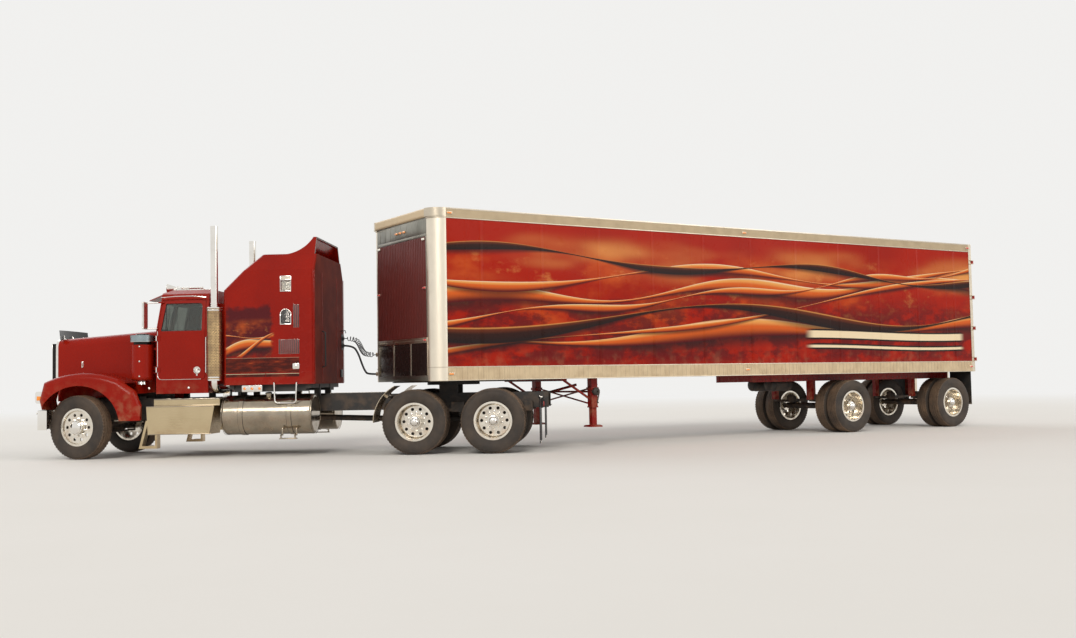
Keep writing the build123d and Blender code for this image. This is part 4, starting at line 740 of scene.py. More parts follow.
def arc(centre, radius, start, end, count):
    """Points of an arc in a plane, by angle in degrees."""
    return [(centre[0] + radius * cos(radians(start + (end - start) * i / count)),
             centre[1] + radius * sin(radians(start + (end - start) * i / count))) for i in range(count + 1)]


def rounded(a, b, c, d, radius, count=4):
    """A rectangle from (a, b) to (c, d) with rounded corners."""
    left, right, foot, head = a + radius, c - radius, b + radius, d - radius
    corners = ((right, head), (left, head), (left, foot), (right, foot))
    return [p for i, corner in enumerate(corners) for p in arc(corner, radius, 90 * i, 90 * i + 90, count)]


# Camera, floor and light
camera_at = kingpin + Vector((9.7141, 18.3051, 1.2154))
yaw, pitch, roll = radians(-122.264), radians(2.9775), radians(-1.052)
lens_px, photo_width, sensor = 1164.65, 1076, 36
pale_sky = (0.88, 0.875, 0.86)
floor_half, floor_z = 90, -0.001
lamps = (("key", (15, 17, 15), 24, 1.5, (1.0, 0.95, 0.88)), ("fill", (-14, 18, 12), 40, 0.7, (1.0, 0.97, 0.94)),
         ("back", (4, -18, 14), 40, 0.6, (0.97, 0.98, 1.0)))


def make_camera():
    """The photo's camera, as fitted: its place, its three turns and its lens."""
    ahead = Vector((cos(yaw) * cos(pitch), sin(yaw) * cos(pitch), sin(pitch)))
    right = Vector((sin(yaw), -cos(yaw), 0))
    up = right.cross(ahead)
    x = right * cos(roll) + up * sin(roll)
    y = up * cos(roll) - right * sin(roll)
    data = bpy.data.cameras.new("camera")
    data.sensor_width, data.lens, data.clip_end = sensor, lens_px / photo_width * sensor, 300
    camera = placed("camera", data)
    camera.matrix_world = Matrix((x, y, -ahead)).transposed().to_4x4()
    camera.location = camera_at
    bpy.context.scene.camera = camera


def make_floor():
    """A pale floor that fades into the sky's colour, as in a studio."""
    graph = Graph("floor")
    x, y, z = graph.axes()
    tint = graph.mix(graph.noise(0.35, 4), (0.80, 0.78, 0.74), (0.84, 0.82, 0.79))
    graph.set(Base_Color=tint, Roughness=0.9)
    sky = graph.wire("ShaderNodeEmission", inputs={"Color": pale_sky, "Strength": 1.0})
    far = graph.math("SQRT", x * x + y * y).above(16, 50)
    blend = graph.wire("ShaderNodeMixShader", inputs={0: far, 1: Wire(graph, graph.shader.outputs[0]), 2: sky})
    graph.put(graph.tree.nodes["Material Output"].inputs["Surface"], blend)
    mesh = bpy.data.meshes.new("floor")
    corners = [(-1, -1), (1, -1), (1, 1), (-1, 1)]
    mesh.from_pydata([(x * floor_half, y * floor_half, floor_z) for x, y in corners], [], [(0, 1, 2, 3)])
    mesh.materials.append(graph.owner)
    placed("floor", mesh)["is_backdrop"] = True


def make_sky():
    """The world: dimmer as a light than as it is seen, mirrored or looked at through glass."""
    world = bpy.data.worlds.new("studio")
    bpy.context.scene.world = world
    graph = Graph("studio", world)
    path = graph.node("ShaderNodeLightPath")
    seen = Wire(graph, path.outputs["Is Camera Ray"])
    for ray in ("Is Glossy Ray", "Is Transmission Ray"):
        seen = graph.math("MAXIMUM", seen, Wire(graph, path.outputs[ray]))
    light, shown = graph.tree.nodes["Background"], graph.node("ShaderNodeBackground")
    for sky, strength in ((light, 0.55), (shown, 1.0)):
        graph.put(sky.inputs["Color"], pale_sky)
        graph.put(sky.inputs["Strength"], strength)
    light, shown = Wire(graph, light.outputs[0]), Wire(graph, shown.outputs[0])
    blend = graph.wire("ShaderNodeMixShader", inputs={0: seen, 1: light, 2: shown})
    graph.put(graph.tree.nodes["World Output"].inputs["Surface"], blend)


def make_lamp(name, at, spread, strength, colour):
    """A sun that shines from a place towards the middle of the rig."""
    data = bpy.data.lights.new(name, "SUN")
    data.angle, data.energy, data.color = radians(spread), strength, colour
    lamp = placed(name, data)
    lamp.location = at
    lamp.rotation_euler = (Vector((0, 0, 1.5)) - Vector(at)).to_track_quat("-Z", "Y").to_euler()


bpy.context.scene.view_settings.view_transform = "Standard"
make_camera()
make_floor()
make_sky()
for settings in lamps:
    make_lamp(*settings)

# Wheels: tyres with ribs and shoulder blocks, nuts, hub caps
tyre_wall = [(-100, 301), (-103, 328), (-116, 345), (-120, 352), (-122, 349), (-131, 384), (-138, 420),
             (-139, 442), (-137, 470), (-132, 490), (-134, 495), (-130, 500), (-122, 521), (-117, 533)]
tyre_ring = tyre_wall + [(-112, 540), (-86, 543), (-84, 530), (-76, 530), (-74, 544), (-30, 545), (-28, 531),
                         (-20, 531), (-18, 545)]
tyre_ring += [(-across, radius) for across, radius in reversed(tyre_ring)]
tyre_parts, shoulder, groove = 180, 73, 11
nut_circle, nut_count = 143, 10
cap_bolts, cap_bolt_circle = 8, 0.82
dual_middle, dual_half, steer_y = 914.5, 165, 1015


def add_tyre(form, x, y):
    """A tyre whose shoulder has a groove at every third step round; its tread is the second finish."""
    points, count, wall = [], len(tyre_ring), len(tyre_wall)
    for i in range(tyre_parts):
        angle = 2 * pi * i / tyre_parts
        for across, radius in tyre_ring:
            if i % 3 == 0 and abs(across) > shoulder and radius > 532:
                radius -= groove
            points.append((x + radius * cos(angle), form.side * y + across, tyre_r + radius * sin(angle)))
    before = len(form.faces)
    form.add(points, bands(tyre_parts, count, True))
    form.finishes[before:] = [1 if wall - 2 <= k < count - wall else 0 for k in range(count)] * tyre_parts


def wheel_trim(name, body, side, x, disc_y, hub_y, hub_r):
    """Nuts on the disc, and a chrome cap with its own bolts on the hub's end."""
    form = Form(side)
    for i in range(nut_count):
        angle = 2 * pi * (i + 0.5) / nut_count
        at = (x + nut_circle * cos(angle), disc_y, tyre_r + nut_circle * sin(angle))
        form.lathe([(-4, 0), (-4, 24), (5, 24), (6, 19), (30, 18), (36, 12), (38, 0)], at, outwards, 6)
    form.lathe([(-3, hub_r + 10), (6, hub_r + 10), (9, hub_r), (24, hub_r - 6), (40, hub_r * 0.62),
                (46, hub_r * 0.4), (47, 0), (-3, 0)], (x, hub_y, tyre_r), outwards, 28)
    for i in range(cap_bolts):
        angle, away = 2 * pi * i / cap_bolts, hub_r * cap_bolt_circle
        form.lathe([(0, 0), (0, 9), (9, 8), (11, 0)],
                   (x + away * cos(angle), hub_y + 20, tyre_r + away * sin(angle)), outwards, 6)
    form.make(name, body, chrome)


def add_wheel(row, hand, side, body, x, tyre_places, node, disc_y, hub_y, hub_r):
    """Tyres with a tread, in place of a CAD node, and the trim of their wheel."""
    form = Form(side)
    for y in tyre_places:
        add_tyre(form, x, y)
    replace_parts(form.make(f"{row}_tread_{hand}", body, (tyre, tread_rubber), "tyre_rubber"), node)
    wheel_trim(f"{row}_nuts_{hand}", body, side, x, disc_y, hub_y, hub_r)


for row, x in wheel_rows:
    for hand, side in hands:
        add_wheel(row, hand, side, f"{row}_{hand}", x, (dual_middle - dual_half, dual_middle + dual_half),
                  f"{row}_tyres_{hand}", dual_middle + 12, dual_middle + 252, 71)
for hand, side in hands:
    add_wheel("steer", hand, side, f"steer_wheel_{hand}", axle_x, (steer_y,),
              f"steer_tyre_{hand}", steer_y + 70, steer_y + 125, 105)


# Repeats: one tree copies a shape along two steps and joins the copies
def repeat_tree():
    tree = bpy.data.node_groups.new("repeat", "GeometryNodeTree")
    tree.interface.new_socket("Shape", in_out="INPUT", socket_type="NodeSocketGeometry")
    sockets = {}
    for name, kind in (("Count", "NodeSocketInt"), ("Step", "NodeSocketVector"), ("Rows", "NodeSocketInt"),
                       ("Row step", "NodeSocketVector"), ("Finish", "NodeSocketMaterial")):
        sockets[name] = tree.interface.new_socket(name, in_out="INPUT", socket_type=kind).identifier
    tree.interface.new_socket("Geometry", in_out="OUTPUT", socket_type="NodeSocketGeometry")
    source, result = tree.nodes.new("NodeGroupInput"), tree.nodes.new("NodeGroupOutput")
    shape = source.outputs["Shape"]
    for count, step in (("Count", "Step"), ("Rows", "Row step")):
        line = tree.nodes.new("GeometryNodeMeshLine")
        tree.links.new(source.outputs[count], line.inputs["Count"])
        tree.links.new(source.outputs[step], line.inputs["Offset"])
        copies = tree.nodes.new("GeometryNodeInstanceOnPoints")
        tree.links.new(line.outputs[0], copies.inputs["Points"])
        tree.links.new(shape, copies.inputs["Instance"])
        real = tree.nodes.new("GeometryNodeRealizeInstances")
        tree.links.new(copies.outputs[0], real.inputs[0])
        shape = real.outputs[0]
    finish = tree.nodes.new("GeometryNodeSetMaterial")
    tree.links.new(shape, finish.inputs["Geometry"])
    tree.links.new(source.outputs["Finish"], finish.inputs["Material"])
    tree.links.new(finish.outputs[0], result.inputs[0])
    return tree, sockets


repeater, repeat_inputs = repeat_tree()


def repeated(form, name, body, material, count, step, rows=1, row_step=(0, 0, 0), bevel=0.0):
    """A form copied count times by step, and those rows times by row_step, as one plain mesh."""
    matrix = frame_of(body)
    first = form.solid(name + "_one", matrix, material, bevel)
    modifier, turned = first.modifiers.new("repeat", "NODES"), matrix.to_3x3()
    modifier.node_group = repeater
    for key, value in (("Count", count), ("Step", turned @ Vector(step)), ("Rows", rows),
                       ("Row step", turned @ Vector(row_step)), ("Finish", material)):
        modifier[repeat_inputs[key]] = value
    graph = bpy.context.evaluated_depsgraph_get()
    mesh = bpy.data.meshes.new_from_object(first.evaluated_get(graph), depsgraph=graph)
    mesh.name = name
    mesh.set_sharp_from_angle(angle=0.6)
    bpy.data.objects.remove(first)
    piece = placed(name, mesh)
    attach(piece, body)


def rivet(side, at, out, radius=5.5):
    """A domed rivet head, 3 mm high."""
    return Form(side).lathe([(-1, 0), (-1, radius), (1.5, radius * 0.8), (3, radius * 0.3), (3, 0)], at, out, 6)


def lamp(form, at, size, out, glass_index=1):
    """A small oblong lamp: a base and a tapered lens, out along one axis; size is long, high and deep."""
    at, out = form.at(at), form.at(out)
    long = Vector((size[0], 0, 0)) if abs(out.x) < 0.5 else Vector((0, size[0], 0))
    tall = Vector((0, 0, size[1]))
    for index, grow, near, far in ((0, 1.0, 0, 0.35), (glass_index, 0.82, 0.3, 1.0)):
        form.use(index)
        a, b = long * grow / 2, tall * grow / 2
        taper = 0.75 if index else 1.0
        points = [at + out * size[2] * depth + a * across * narrow + b * up * narrow
                  for depth, narrow in ((near, 1.0), (far, taper))
                  for across, up in ((-1, -1), (1, -1), (1, 1), (-1, 1))]
        form.add(points, [(3, 2, 1, 0), (4, 5, 6, 7), (0, 1, 5, 4), (1, 2, 6, 5), (2, 3, 7, 6), (3, 0, 4, 7)])
    form.use(0)


# Trailer sides: lips of the rails, seams, rivets and lamps
seams = 11
side_lamp, nose_lamp, rear_lamp = (110, 42, 24), (90, 42, 30), (110, 42, 26)
for hand, side in hands:
    form = Form(side)
    for low, high, proud in ((1220, 1234, 3), (1442, 1458, 3), (3932, 3947, 3), (4086, 4109, 2.5)):
        form.block((-12681, corner_x), (wall_y - 2, wall_y + proud), (low, high))
    form.make(f"rail_lips_{hand}", "trailer", trim, "trailer_aluminium", bevel=1.2)
    repeated(rivet(side, (-12650, wall_y + 3, 1450), outwards), f"rail_rivets_{hand}", "trailer", trim,
             175, (76.2, 0, 0), 2, (0, 0, 2490))
    repeated(rivet(side, (-12155, wall_y - 8, 1500), outwards, 5), f"seam_rivets_{hand}", "trailer", mural,
             31, (0, 0, 80), seams, (seam_step, 0, 0))
    form = Form(side).block((-12190, -12120), (wall_y - 9, wall_y - 5.5), (1458, 3932))
    repeated(form, f"seam_laps_{hand}", "trailer", mural, seams, (seam_step, 0, 0), bevel=0.8)
    form = Form(side)
    for x, colour in ((640, 1), (-5900, 1), (-12640, 2)):
        for z in (4020, 1335):
            lamp(form, (x, wall_y + 1, z), side_lamp, outwards, colour)
    form.make(f"side_lamps_{hand}", "trailer", (trim, amber, lamp_red), "lamp_housing", bevel=1.5)
form = Form().block((-12500, -12492), (-1150, 1150), (4098, 4104))
repeated(form, "roof_bows", "trailer", roof_skin, 21, (610, 0, 0), bevel=1)

# Trailer nose: bright corners, cap band, ribbed panel, dark glossy panel in a frame, and lamps
corner_r, corner_steps, panel_y = 240.2, 14, 976


def corner_band(form, low, high, radius):
    """A band round the nose's corner; radius gives its outer radius at an angle."""
    angles = [radians(90 * i / corner_steps) for i in range(corner_steps + 1)]
    loop = [(corner_x + r * cos(a), form.side * (corner_y + r * sin(a)))
            for a, r in [(a, radius(a)) for a in angles] + [(a, corner_r) for a in reversed(angles)]]
    form.slab(lambda c: [(a, b, c) for a, b in loop], low, high)


for hand, side in hands:
    form = Form(side)
    for low, high, radius in ((1456, 3934, 243.0), (1222, 1440, 242.0)):
        corner_band(form, low, high, lambda a: radius)
    form.make(f"corner_sheet_{hand}", "trailer", bright_post, "trailer_aluminium", angle=0.9)
    form = Form(side)
    for low, high, grow in ((3962, 4107, 42), (3940, 3962, 14), (1440, 1456, 8)):
        corner_band(form, low, high, lambda a: 243 + grow * cos(a))
    form.make(f"corner_cap_{hand}", "trailer", trim, "trailer_aluminium", angle=0.9)
form = Form().block((nose_x - 1, nose_x + 4), (-972, 972), (1950, 3640))
form.make("nose_sheet", "trailer", nose_paint, "trailer_paint", bevel=1)
form = Form().end_slab([(-961, 1960), (-935, 1960), (-941, 3630), (-955, 3630)], (nose_x + 2, nose_x + 12))
repeated(form, "nose_ribs", "trailer", nose_paint, 30, (0, rib_step, 0), bevel=3)
form = Form()
for z0, z1, proud in ((3640, 3690, 9), (3690, 3955, 5), (1222, 1320, 8)):
    form.block((nose_x - 1, nose_x + proud), (-panel_y, panel_y), (z0, z1))
for y in (-panel_y, panel_y - 30):
    form.block((nose_x - 1, nose_x + 10), (y, y + 30), (1950, 3640))
for y in range(-860, 900, 215):
    form.block((nose_x + 2, nose_x + 8), (y - 8, y + 8), (3700, 3950))
form.make("nose_header", "trailer", grey_sheet, "trailer_aluminium", bevel=2)
form = Form().block((nose_x - 1, nose_x + 14), (-panel_y, panel_y), (1862, 1950))
for low, high in ((-panel_y, 30 - panel_y), (panel_y - 30, panel_y), (-360, -320), (320, 360)):
    form.block((nose_x - 1, nose_x + 12), (low, high), (1320, 1862))
form.make("nose_bands", "trailer", trim, "trailer_aluminium", bevel=3)
form = Form().block((nose_x - 1, nose_x + 5), (-945, 945), (1318, 1864))
form.make("nose_panel", "trailer", black_gloss, "trailer_paint", bevel=1)
for row, proud, z in (("low", 9, 3668), ("high", 5, 3925), ("sill", 14, 1906)):
    repeated(rivet(1, (nose_x + proud, -950, z), forwards), f"nose_rivets_{row}", "trailer", trim,
             33, (0, 59.4, 0))
form = Form()
for y, z, colour in ((-880, 3600, 3), (880, 3600, 3), (-150, 3800, 1), (0, 3800, 1), (150, 3800, 1),
                     (-905, 2780, 2), (905, 2780, 2), (905, 1910, 2)):
    lamp(form, (nose_x + 8, y, z), nose_lamp, forwards, colour)
form.make("nose_lamps", "trailer", (trim, amber, lamp_red, white_lens), "lamp_housing", bevel=1.5)
# Line couplings on the right corner
form, reach = Form(), 241 * cos(radians(45))
for z in coupling_heights:
    form.lathe([(-2, 0), (-2, 52), (8, 50), (12, 34), (26, 32), (30, 40), (38, 40), (42, 20), (42, 0)],
               (corner_x + reach, -corner_y - reach, z), (1, -1, 0), 16)
form.make("couplings_trailer", "trailer", trim, "trailer_aluminium")

# Trailer rear: lock rods with keepers and handles, seals, hinges' straps, lamps and plates
door_foot, door_top, door_in, door_out = 1394, 3958, 8, 1118
for hand, side in hands:
    form = Form(side)
    for y in (190, 760):
        form.rod((rear_x - 22, y, 1400), (rear_x - 22, y, 3952), 15, 14)
        for z in (1430, 1980, 2660, 3360, 3900):
            form.block((rear_x - 42, rear_x), (y - 30, y + 30), (z - 22, z + 22))
        for z in (1392, 3955):
            form.block((rear_x - 34, rear_x - 6), (y - side * 42, y + side * 24), (z - 14, z + 14))
        form.tube([(rear_x - 30, y, 2250), (rear_x - 48, y + 60, 2230), (rear_x - 48, y + 330, 2215)], 11)
    form.make(f"lock_rods_{hand}", f"rear_door_{hand}", bright_post, "trailer_aluminium", bevel=2)
    form = Form(side)
    for ys, zs in (((door_in, door_out), (1378, door_foot)), ((door_in, door_out), (door_top, 3972)),
                   ((door_in, door_in + 15), (door_foot, door_top)),
                   ((door_out - 15, door_out), (door_foot, door_top))):
        form.block((rear_x - 7, rear_x + 6), ys, zs)
    form.make(f"door_seal_{hand}", f"rear_door_{hand}", flap, "flap_rubber", bevel=3)
    form = Form(side)
    for z in (1500, 2200, 2900, 3700):
        form.block((rear_x - 12, rear_x - 5), (690, 1105), (z - 26, z + 26))
        for y in (740, 860, 980, 1070):
            form.lathe([(0, 0), (0, 9), (5, 8), (6, 0)], (rear_x - 12, y, z), rearwards, 6)
    form.make(f"door_straps_{hand}", f"rear_door_{hand}", trim, "trailer_aluminium", bevel=1.5)
form = Form()
for y in (-1090, -190, 0, 190, 1090):
    lamp(form, (rear_x, y, 4048), rear_lamp, rearwards)
for y in (-1090, -960, -830, 830, 960, 1090):
    form.use(0).lathe([(-2, 0), (-2, 54), (8, 54), (10, 50), (10, 0)], (rear_x, y, 1294), rearwards, 20)
    form.use(1).lathe([(8, 0), (8, 48), (20, 40), (24, 0)], (rear_x, y, 1294), rearwards, 20)
form.make("rear_lamps", "trailer", (black_trim, lamp_red), "lamp_housing")
form = Form()
for side in form.both_sides():
    form.block((rear_x - 12, rear_x + 2), (1100, 1215), (1225, 1500))
form.make("rear_guards", "trailer", trim, "trailer_aluminium", bevel=3)

# Landing gear: shoes, gearboxes, crank and crossed braces; brakes and tanks under the trailer
leg_x, leg_y = -2380, 950
form = Form()
for side in form.both_sides():
    form.end_slab([(leg_y - 135, 346), (leg_y + 135, 346), (leg_y + 118, 372), (leg_y + 60, 384),
                   (leg_y - 60, 384), (leg_y - 118, 372)], (leg_x - 120, leg_x + 120))
    form.block((leg_x - 82, leg_x + 82), (leg_y - 82, leg_y + 82), (1010, 1060))
    form.block((leg_x - 72, leg_x + 72), (leg_y - 75, leg_y + 75), (694, 716))
    form.rod((leg_x, leg_y, 900), (-2900, leg_y * 0.35, 1105), 26)
form.rod((leg_x - 40, -930, 760), (leg_x - 40, 930, 1060), 15)
form.rod((leg_x + 40, 930, 760), (leg_x + 40, -930, 1060), 15)
form.make("leg_details", "trailer", gear_paint, "running_gear_paint", bevel=3)
form = Form().lathe([(0, 0), (0, 62), (20, 70), (70, 70), (90, 50), (95, 0)], (leg_x, 1015, 985), outwards, 16)
form.tube([(leg_x, 1100, 985), (leg_x, 1150, 985), (-2378, 1165, 970), (-2330, 1168, 800), (-2326, 1172, 790),
           (-2326, 1205, 785)], 13)
form.make("crank", "trailer", axle_steel, "running_gear_paint")
form = Form()
for row, x in wheel_rows[2:]:
    for side in form.both_sides():
        form.lathe([(0, 0), (0, 60), (10, 78), (60, 82), (66, 88), (78, 88), (84, 82), (150, 76), (160, 50),
                    (162, 0)], (x + 130, 390, 690), (1, 0, 0.25), 18)
        form.rod((x + 120, 390, 685), (x + 20, 420, 640), 14)
        form.rod((x + 60, 700, 560), (x + 60, 300, 560), 20)
form.make("brake_chambers", "trailer", axle_steel, "running_gear_paint")
form = Form()
for side in form.both_sides():
    form.lathe([(0, 0), (4, 60), (30, 118), (50, 125), (600, 125), (620, 118), (646, 60), (650, 0)],
               (-7300, 250, 1010), rearwards)
    for x in (-7450, -7800):
        form.ring(126, 132, 0, 40, (x, 250, 1010), rearwards)
form.make("air_tanks", "trailer", chassis, "running_gear_paint")
form = Form().lathe([(0, 0), (0, 13), (3, 13), (3, 0)], (-12450, 566, 1130), outwards, 12)
repeated(form, "slider_holes_left", "trailer", black_trim, 38, (152, 0, 0))


# Outlines of the CAD's own glass and doors, for seals and edge lines
def outlines(node, way, matrix, least=900.0):
    """Loops round a CAD node's faces that look along way, longest first, in the frame's millimetres."""
    bm = bmesh.new()
    bm.from_mesh(nodes[node].data)
    bmesh.ops.remove_doubles(bm, verts=bm.verts, dist=1e-5)
    way = (matrix.to_3x3() @ Vector(way)).normalized()
    facing = {face for face in bm.faces if face.normal.dot(way) > 0.8}
    after = {}
    for face in facing:
        for loop in face.loops:
            if not any(other in facing for other in loop.edge.link_faces if other is not face):
                after[loop.vert] = loop.link_loop_next.vert
    back, loops = matrix.inverted(), []
    while after:
        start, vert = next(iter(after.items()))
        path = [start]
        del after[start]
        while vert in after:
            path.append(vert)
            vert = after.pop(vert)
        loops.append([back @ v.co for v in path])
    bm.free()

    def length(path):
        return sum((a - b).length for a, b in zip(path, path[1:] + path[:1]))
    return sorted((path for path in loops if length(path) > least), key=length, reverse=True)


def hoop(form, path, radius, parts=6):
    """A round bead along a closed line of points."""
    count = len(path)
    middle = sum(path, Vector()) / count
    normal = Vector()
    for a, b in zip(path, path[1:] + path[:1]):
        normal += (a - middle).cross(b - middle)
    normal.normalize()
    points = []
    for i, at in enumerate(path):
        ahead = (path[(i + 1) % count] - path[i - 1]).normalized()
        points += circle(at, ahead.cross(normal), normal, radius, parts)
    form.add(points, bands(count, parts, True))


def door_edge(form, path):
    """A bright line round the door's edge, from the beltline forward, down and back to the rear foot."""
    first = min(range(len(path)), key=lambda i: abs(path[i].z - 2150) + (0 if path[i].x > 4800 else 9000))
    path = path[first:] + path[:first]
    if path[1].z > path[0].z:
        path = [path[0]] + path[:0:-1]
    last = next((i for i, q in enumerate(path) if q.z < 1340 and q.x < 4300), len(path) - 1)
    form.tube([form.at(q) + Vector((0, 1.5, 0)) for q in path[:last + 1]], 5, 6)


form = Form()
for way in ((1, 0, 0.3), (0, 1, 0), (0, -1, 0), (-1, 0, 0)):
    for path in outlines("windows", way, TRACTOR):
        hoop(form, path, 9)
form.make("window_seals", "tractor", black_trim, "window_glass")
for hand, side in hands:
    form = Form(side)
    for path in outlines(f"door_glass_{hand}", (0, side, 0), TRACTOR):
        hoop(form, path, 10)
    form.rod((4770, 984, 2172), (4770, 984, 2590), 8, 8)
    form.make(f"door_seal_glass_{hand}", f"door_{hand}", black_trim, "window_glass")
    form = Form(side)
    for path in outlines(f"door_{hand}", (0, side, 0), TRACTOR, 3000)[:1]:
        door_edge(form, path)
    # The door's handle in its dish, and the lock
    at = Vector((4238, 981, 1484))
    form.lathe([(-2, 0), (-2, 62), (7, 60), (9, 48), (3, 40), (3, 0)], at, outwards, 28)
    form.tube([at + Vector(away) for away in ((-46, 12, 8), (-30, 30, 12), (40, 32, 4), (52, 14, 0))],
              [9, 12, 12, 9])
    form.lathe([(0, 0), (0, 15), (6, 14), (8, 0)], at + Vector((0, 0, -82)), outwards, 14)
    form.make(f"door_trim_{hand}", f"door_{hand}", chrome, "bright_chrome")
    form = Form(side).side_slab(rounded(5040, 2216, 5041, 2624, 0.4, 1), (1128, 1272))
    for z in (2205, 2420, 2635):
        form.lathe([(0, 0), (0, 9), (6, 7), (7, 0)], (5058, 1291, z), outwards, 8)
    form.make(f"mirror_face_{hand}", f"door_{hand}", chrome, "bright_chrome")

# Cab: drip rails, grab bars, step lamps, roof lamps, horn bells and wipers
form = Form()
for side in form.both_sides():
    form.tube([(4072, 988, 2730), (4300, 989, 2752), (4600, 988, 2752), (4860, 984, 2735)], 9, 6)
    form.tube([(4062, 985, 1420), (4062, 1035, 1440), (4062, 1035, 2040), (4062, 985, 2060)], 13)
    for x in (5070, 4380):
        form.lathe([(-2, 0), (-2, 22), (10, 20), (16, 10), (17, 0)], (x, 980, 1185), outwards, 12)
form.make("cab_trim", "tractor", chrome, "bright_chrome")
form = Form()
for y in (-560, -280, 0, 280, 560):
    form.use(0).block((4738, 4752), (y - 34, y + 34), (2886, 2930))
    form.use(1).lathe([(0, 0), (0, 24), (26, 21), (44, 12), (48, 0)], (4750, y, 2906), forwards, 14)
form.use(0)
for side in form.both_sides():
    form.lathe([(0, 40), (14, 82), (18, 84), (18, 76), (2, 30), (0, 0)], (5000, 250, 2955), forwards)
    form.tube([(4385, 250, 2955), (4360, 240, 2930), (4330, 200, 2888)], 8, 6)
form.make("roof_lamps", "tractor", (chrome, white_lens), "lamp_housing", bevel=2)
form = Form()
for side in form.both_sides():
    form.tube([(5052, 330, 2196), (5062, 330, 2208), (4974, 120, 2526)], [12, 7, 5], 6)
    form.tube([(5020, 140, 2330), (4970, 110, 2550)], 7, 6)
form.make("wipers", "tractor", black_trim, "flap_rubber")

# Hood: bug shield, centre strip, latches, grille mesh and rim, lamps
shield_half, shield_x, shield_thick = 560, 6835, 7
form = Form()
line = [(shield_x + 62 * (1 - (y / shield_half) ** 2), y) for y in range(-shield_half, shield_half + 1, 56)]
loop = line + [(x - shield_thick, y) for x, y in reversed(line)]
low = [Vector((x - 8, y, 2086 - 40 * (y / shield_half) ** 6)) for x, y in loop]
high = [Vector((x + 12, y, 2234 + 10 * (1 - (y / shield_half) ** 2))) for x, y in loop]
form.slab(lambda end: high if end else low, 0, 1)
form.make("bug_shield", "hood", smoked, "window_glass")
form = Form().tube([(6893, 0, 2079), (6600, 0, 2099), (5700, 0, 2155), (5112, 0, 2192)], 9)
for y in (-380, 0, 380):
    form.tube([(6790, y, 2070), (6840, y, 2092), (6868 - abs(y) * 0.06, y, 2140)], 9, 6)
for side in form.both_sides():
    form.block((6430, 6462), (517, 531), (1573, 1677))
    form.rod((6446, 531, 1591), (6446, 551, 1661), 9, 8)
form.make("hood_trim", "hood", chrome, "bright_chrome", bevel=2)
form = Form()
for z in range(1040, 1980, 26):
    form.rod((6962, -404, z), (6962, 404, z), 3.2, 6)
form.make("grille_mesh", "hood", black_trim, "flap_rubber")
form = Form()
grille_half, grille_bars = 407, 13
for i in range(grille_bars):
    y = 2 * grille_half / (grille_bars + 1) * (i + 1) - grille_half
    form.block((7016, 7026), (y - 8, y + 8), (1030, 1972))
for y in (-424, 424):
    form.block((7026, 7034), (y - 12, y + 12), (1006, 1996))
for z in (1014, 1988):
    form.block((7026, 7034), (-436, 436), (z - 12, z + 12))
form.make("grille_bars", "hood", chrome, "bright_chrome", bevel=3)
for hand, side in hands:
    form = Form(side)
    for y in (872, 1030):
        at = (7003, y, 1064)
        form.use(0).lathe([(-4, 0), (-4, 72), (12, 72), (14, 64), (6, 62), (4, 0)], at, forwards, 28)
        form.use(1).lathe([(3, 0), (3, 62), (10, 60), (17, 40), (20, 0)], at, forwards, 28)
    form.use(2).block((6882, 6976), (1106, 1122), (1012, 1086))
    form.make(f"headlamp_{hand}", "hood", (chrome, lamp_glass, amber), "lamp_housing", bevel=2)

# Bumper: bolts, blank plate, lip and fog lamps
form = Form()
for y in (-1090, -700, 700, 1090):
    form.lathe([(-2, 0), (-2, 17), (4, 16), (10, 8), (11, 0)], (bumper_x, y * 0.95, 790), forwards, 12)
form.end_slab(rounded(-170, 610, 170, 715, 12), (bumper_x, bumper_x + 6))
form.block((6990, 7018), (-760, 760), (838, 848))
for side in form.both_sides():
    at = (bumper_x, 560, 655)
    form.use(2).lathe([(-2, 0), (-2, 62), (14, 62), (16, 54), (8, 52), (8, 0)], at, forwards)
    form.use(1).lathe([(6, 0), (6, 53), (13, 44), (16, 0)], at, forwards)
form.make("bumper_trim", "tractor", (chrome, lamp_glass, black_trim), "bright_chrome", bevel=2)

# Air cleaners: bands, latches, outlet and cap; stacks: clamps, bracket and end ring
form = Form()
for side in form.both_sides():
    for z, radius in ((1984, 212), (1994, 198)):
        form.ring(150, radius, 0, 6, (cleaner_x, cleaner_y, z), upwards, 40)
    for z in (1905, 1650, 1395):
        out = Vector((-0.1, 1, 0)).normalized()
        form.lathe([(-4, 0), (-4, 16), (8, 15), (13, 8), (14, 0)],
                   Vector((cleaner_x, cleaner_y, z)) + out * 187, out, 12)
    form.lathe([(0, 60), (0, 92), (60, 80), (70, 60)], (cleaner_x, cleaner_y, 1258), upwards, 28, True)
    form.lathe([(0, 40), (10, 90), (26, 118), (32, 60), (32, 0)], (cleaner_x, cleaner_y, 2094), upwards, 28)
form.make("cleaner_trim", "tractor", cleaner_metal, "bright_chrome")
form = Form()
for side in form.both_sides():
    for z, radius in ((1308, 129), (1352, 127), (2490, 127), (2530, 129)):
        form.lathe([(0, 108), (0, radius), (4, radius + 3), (20, radius + 3), (24, radius), (24, 108)],
                   (stack_x, stack_y, z - 12), upwards, 32, True)
    for z in (2560, 2600):
        form.ring(62, 76, 0, 14, (stack_x, stack_y, z), upwards)
    form.rod((3860, 985, 2050), (3880, 1096, 2050), 16)
    form.ring(64, 67, 0, 46, (stack_x, stack_y, 3884), upwards)
form.make("stack_clamps", "tractor", chrome, "bright_chrome")

# Sleeper: vent hood, louvres, window with its blind, locker latch, lamp plate, grab bar and seams
arch_x, arch_z, arch_foot, arch_r, arch_wall = 2656, 2395, 2225, 96, 12


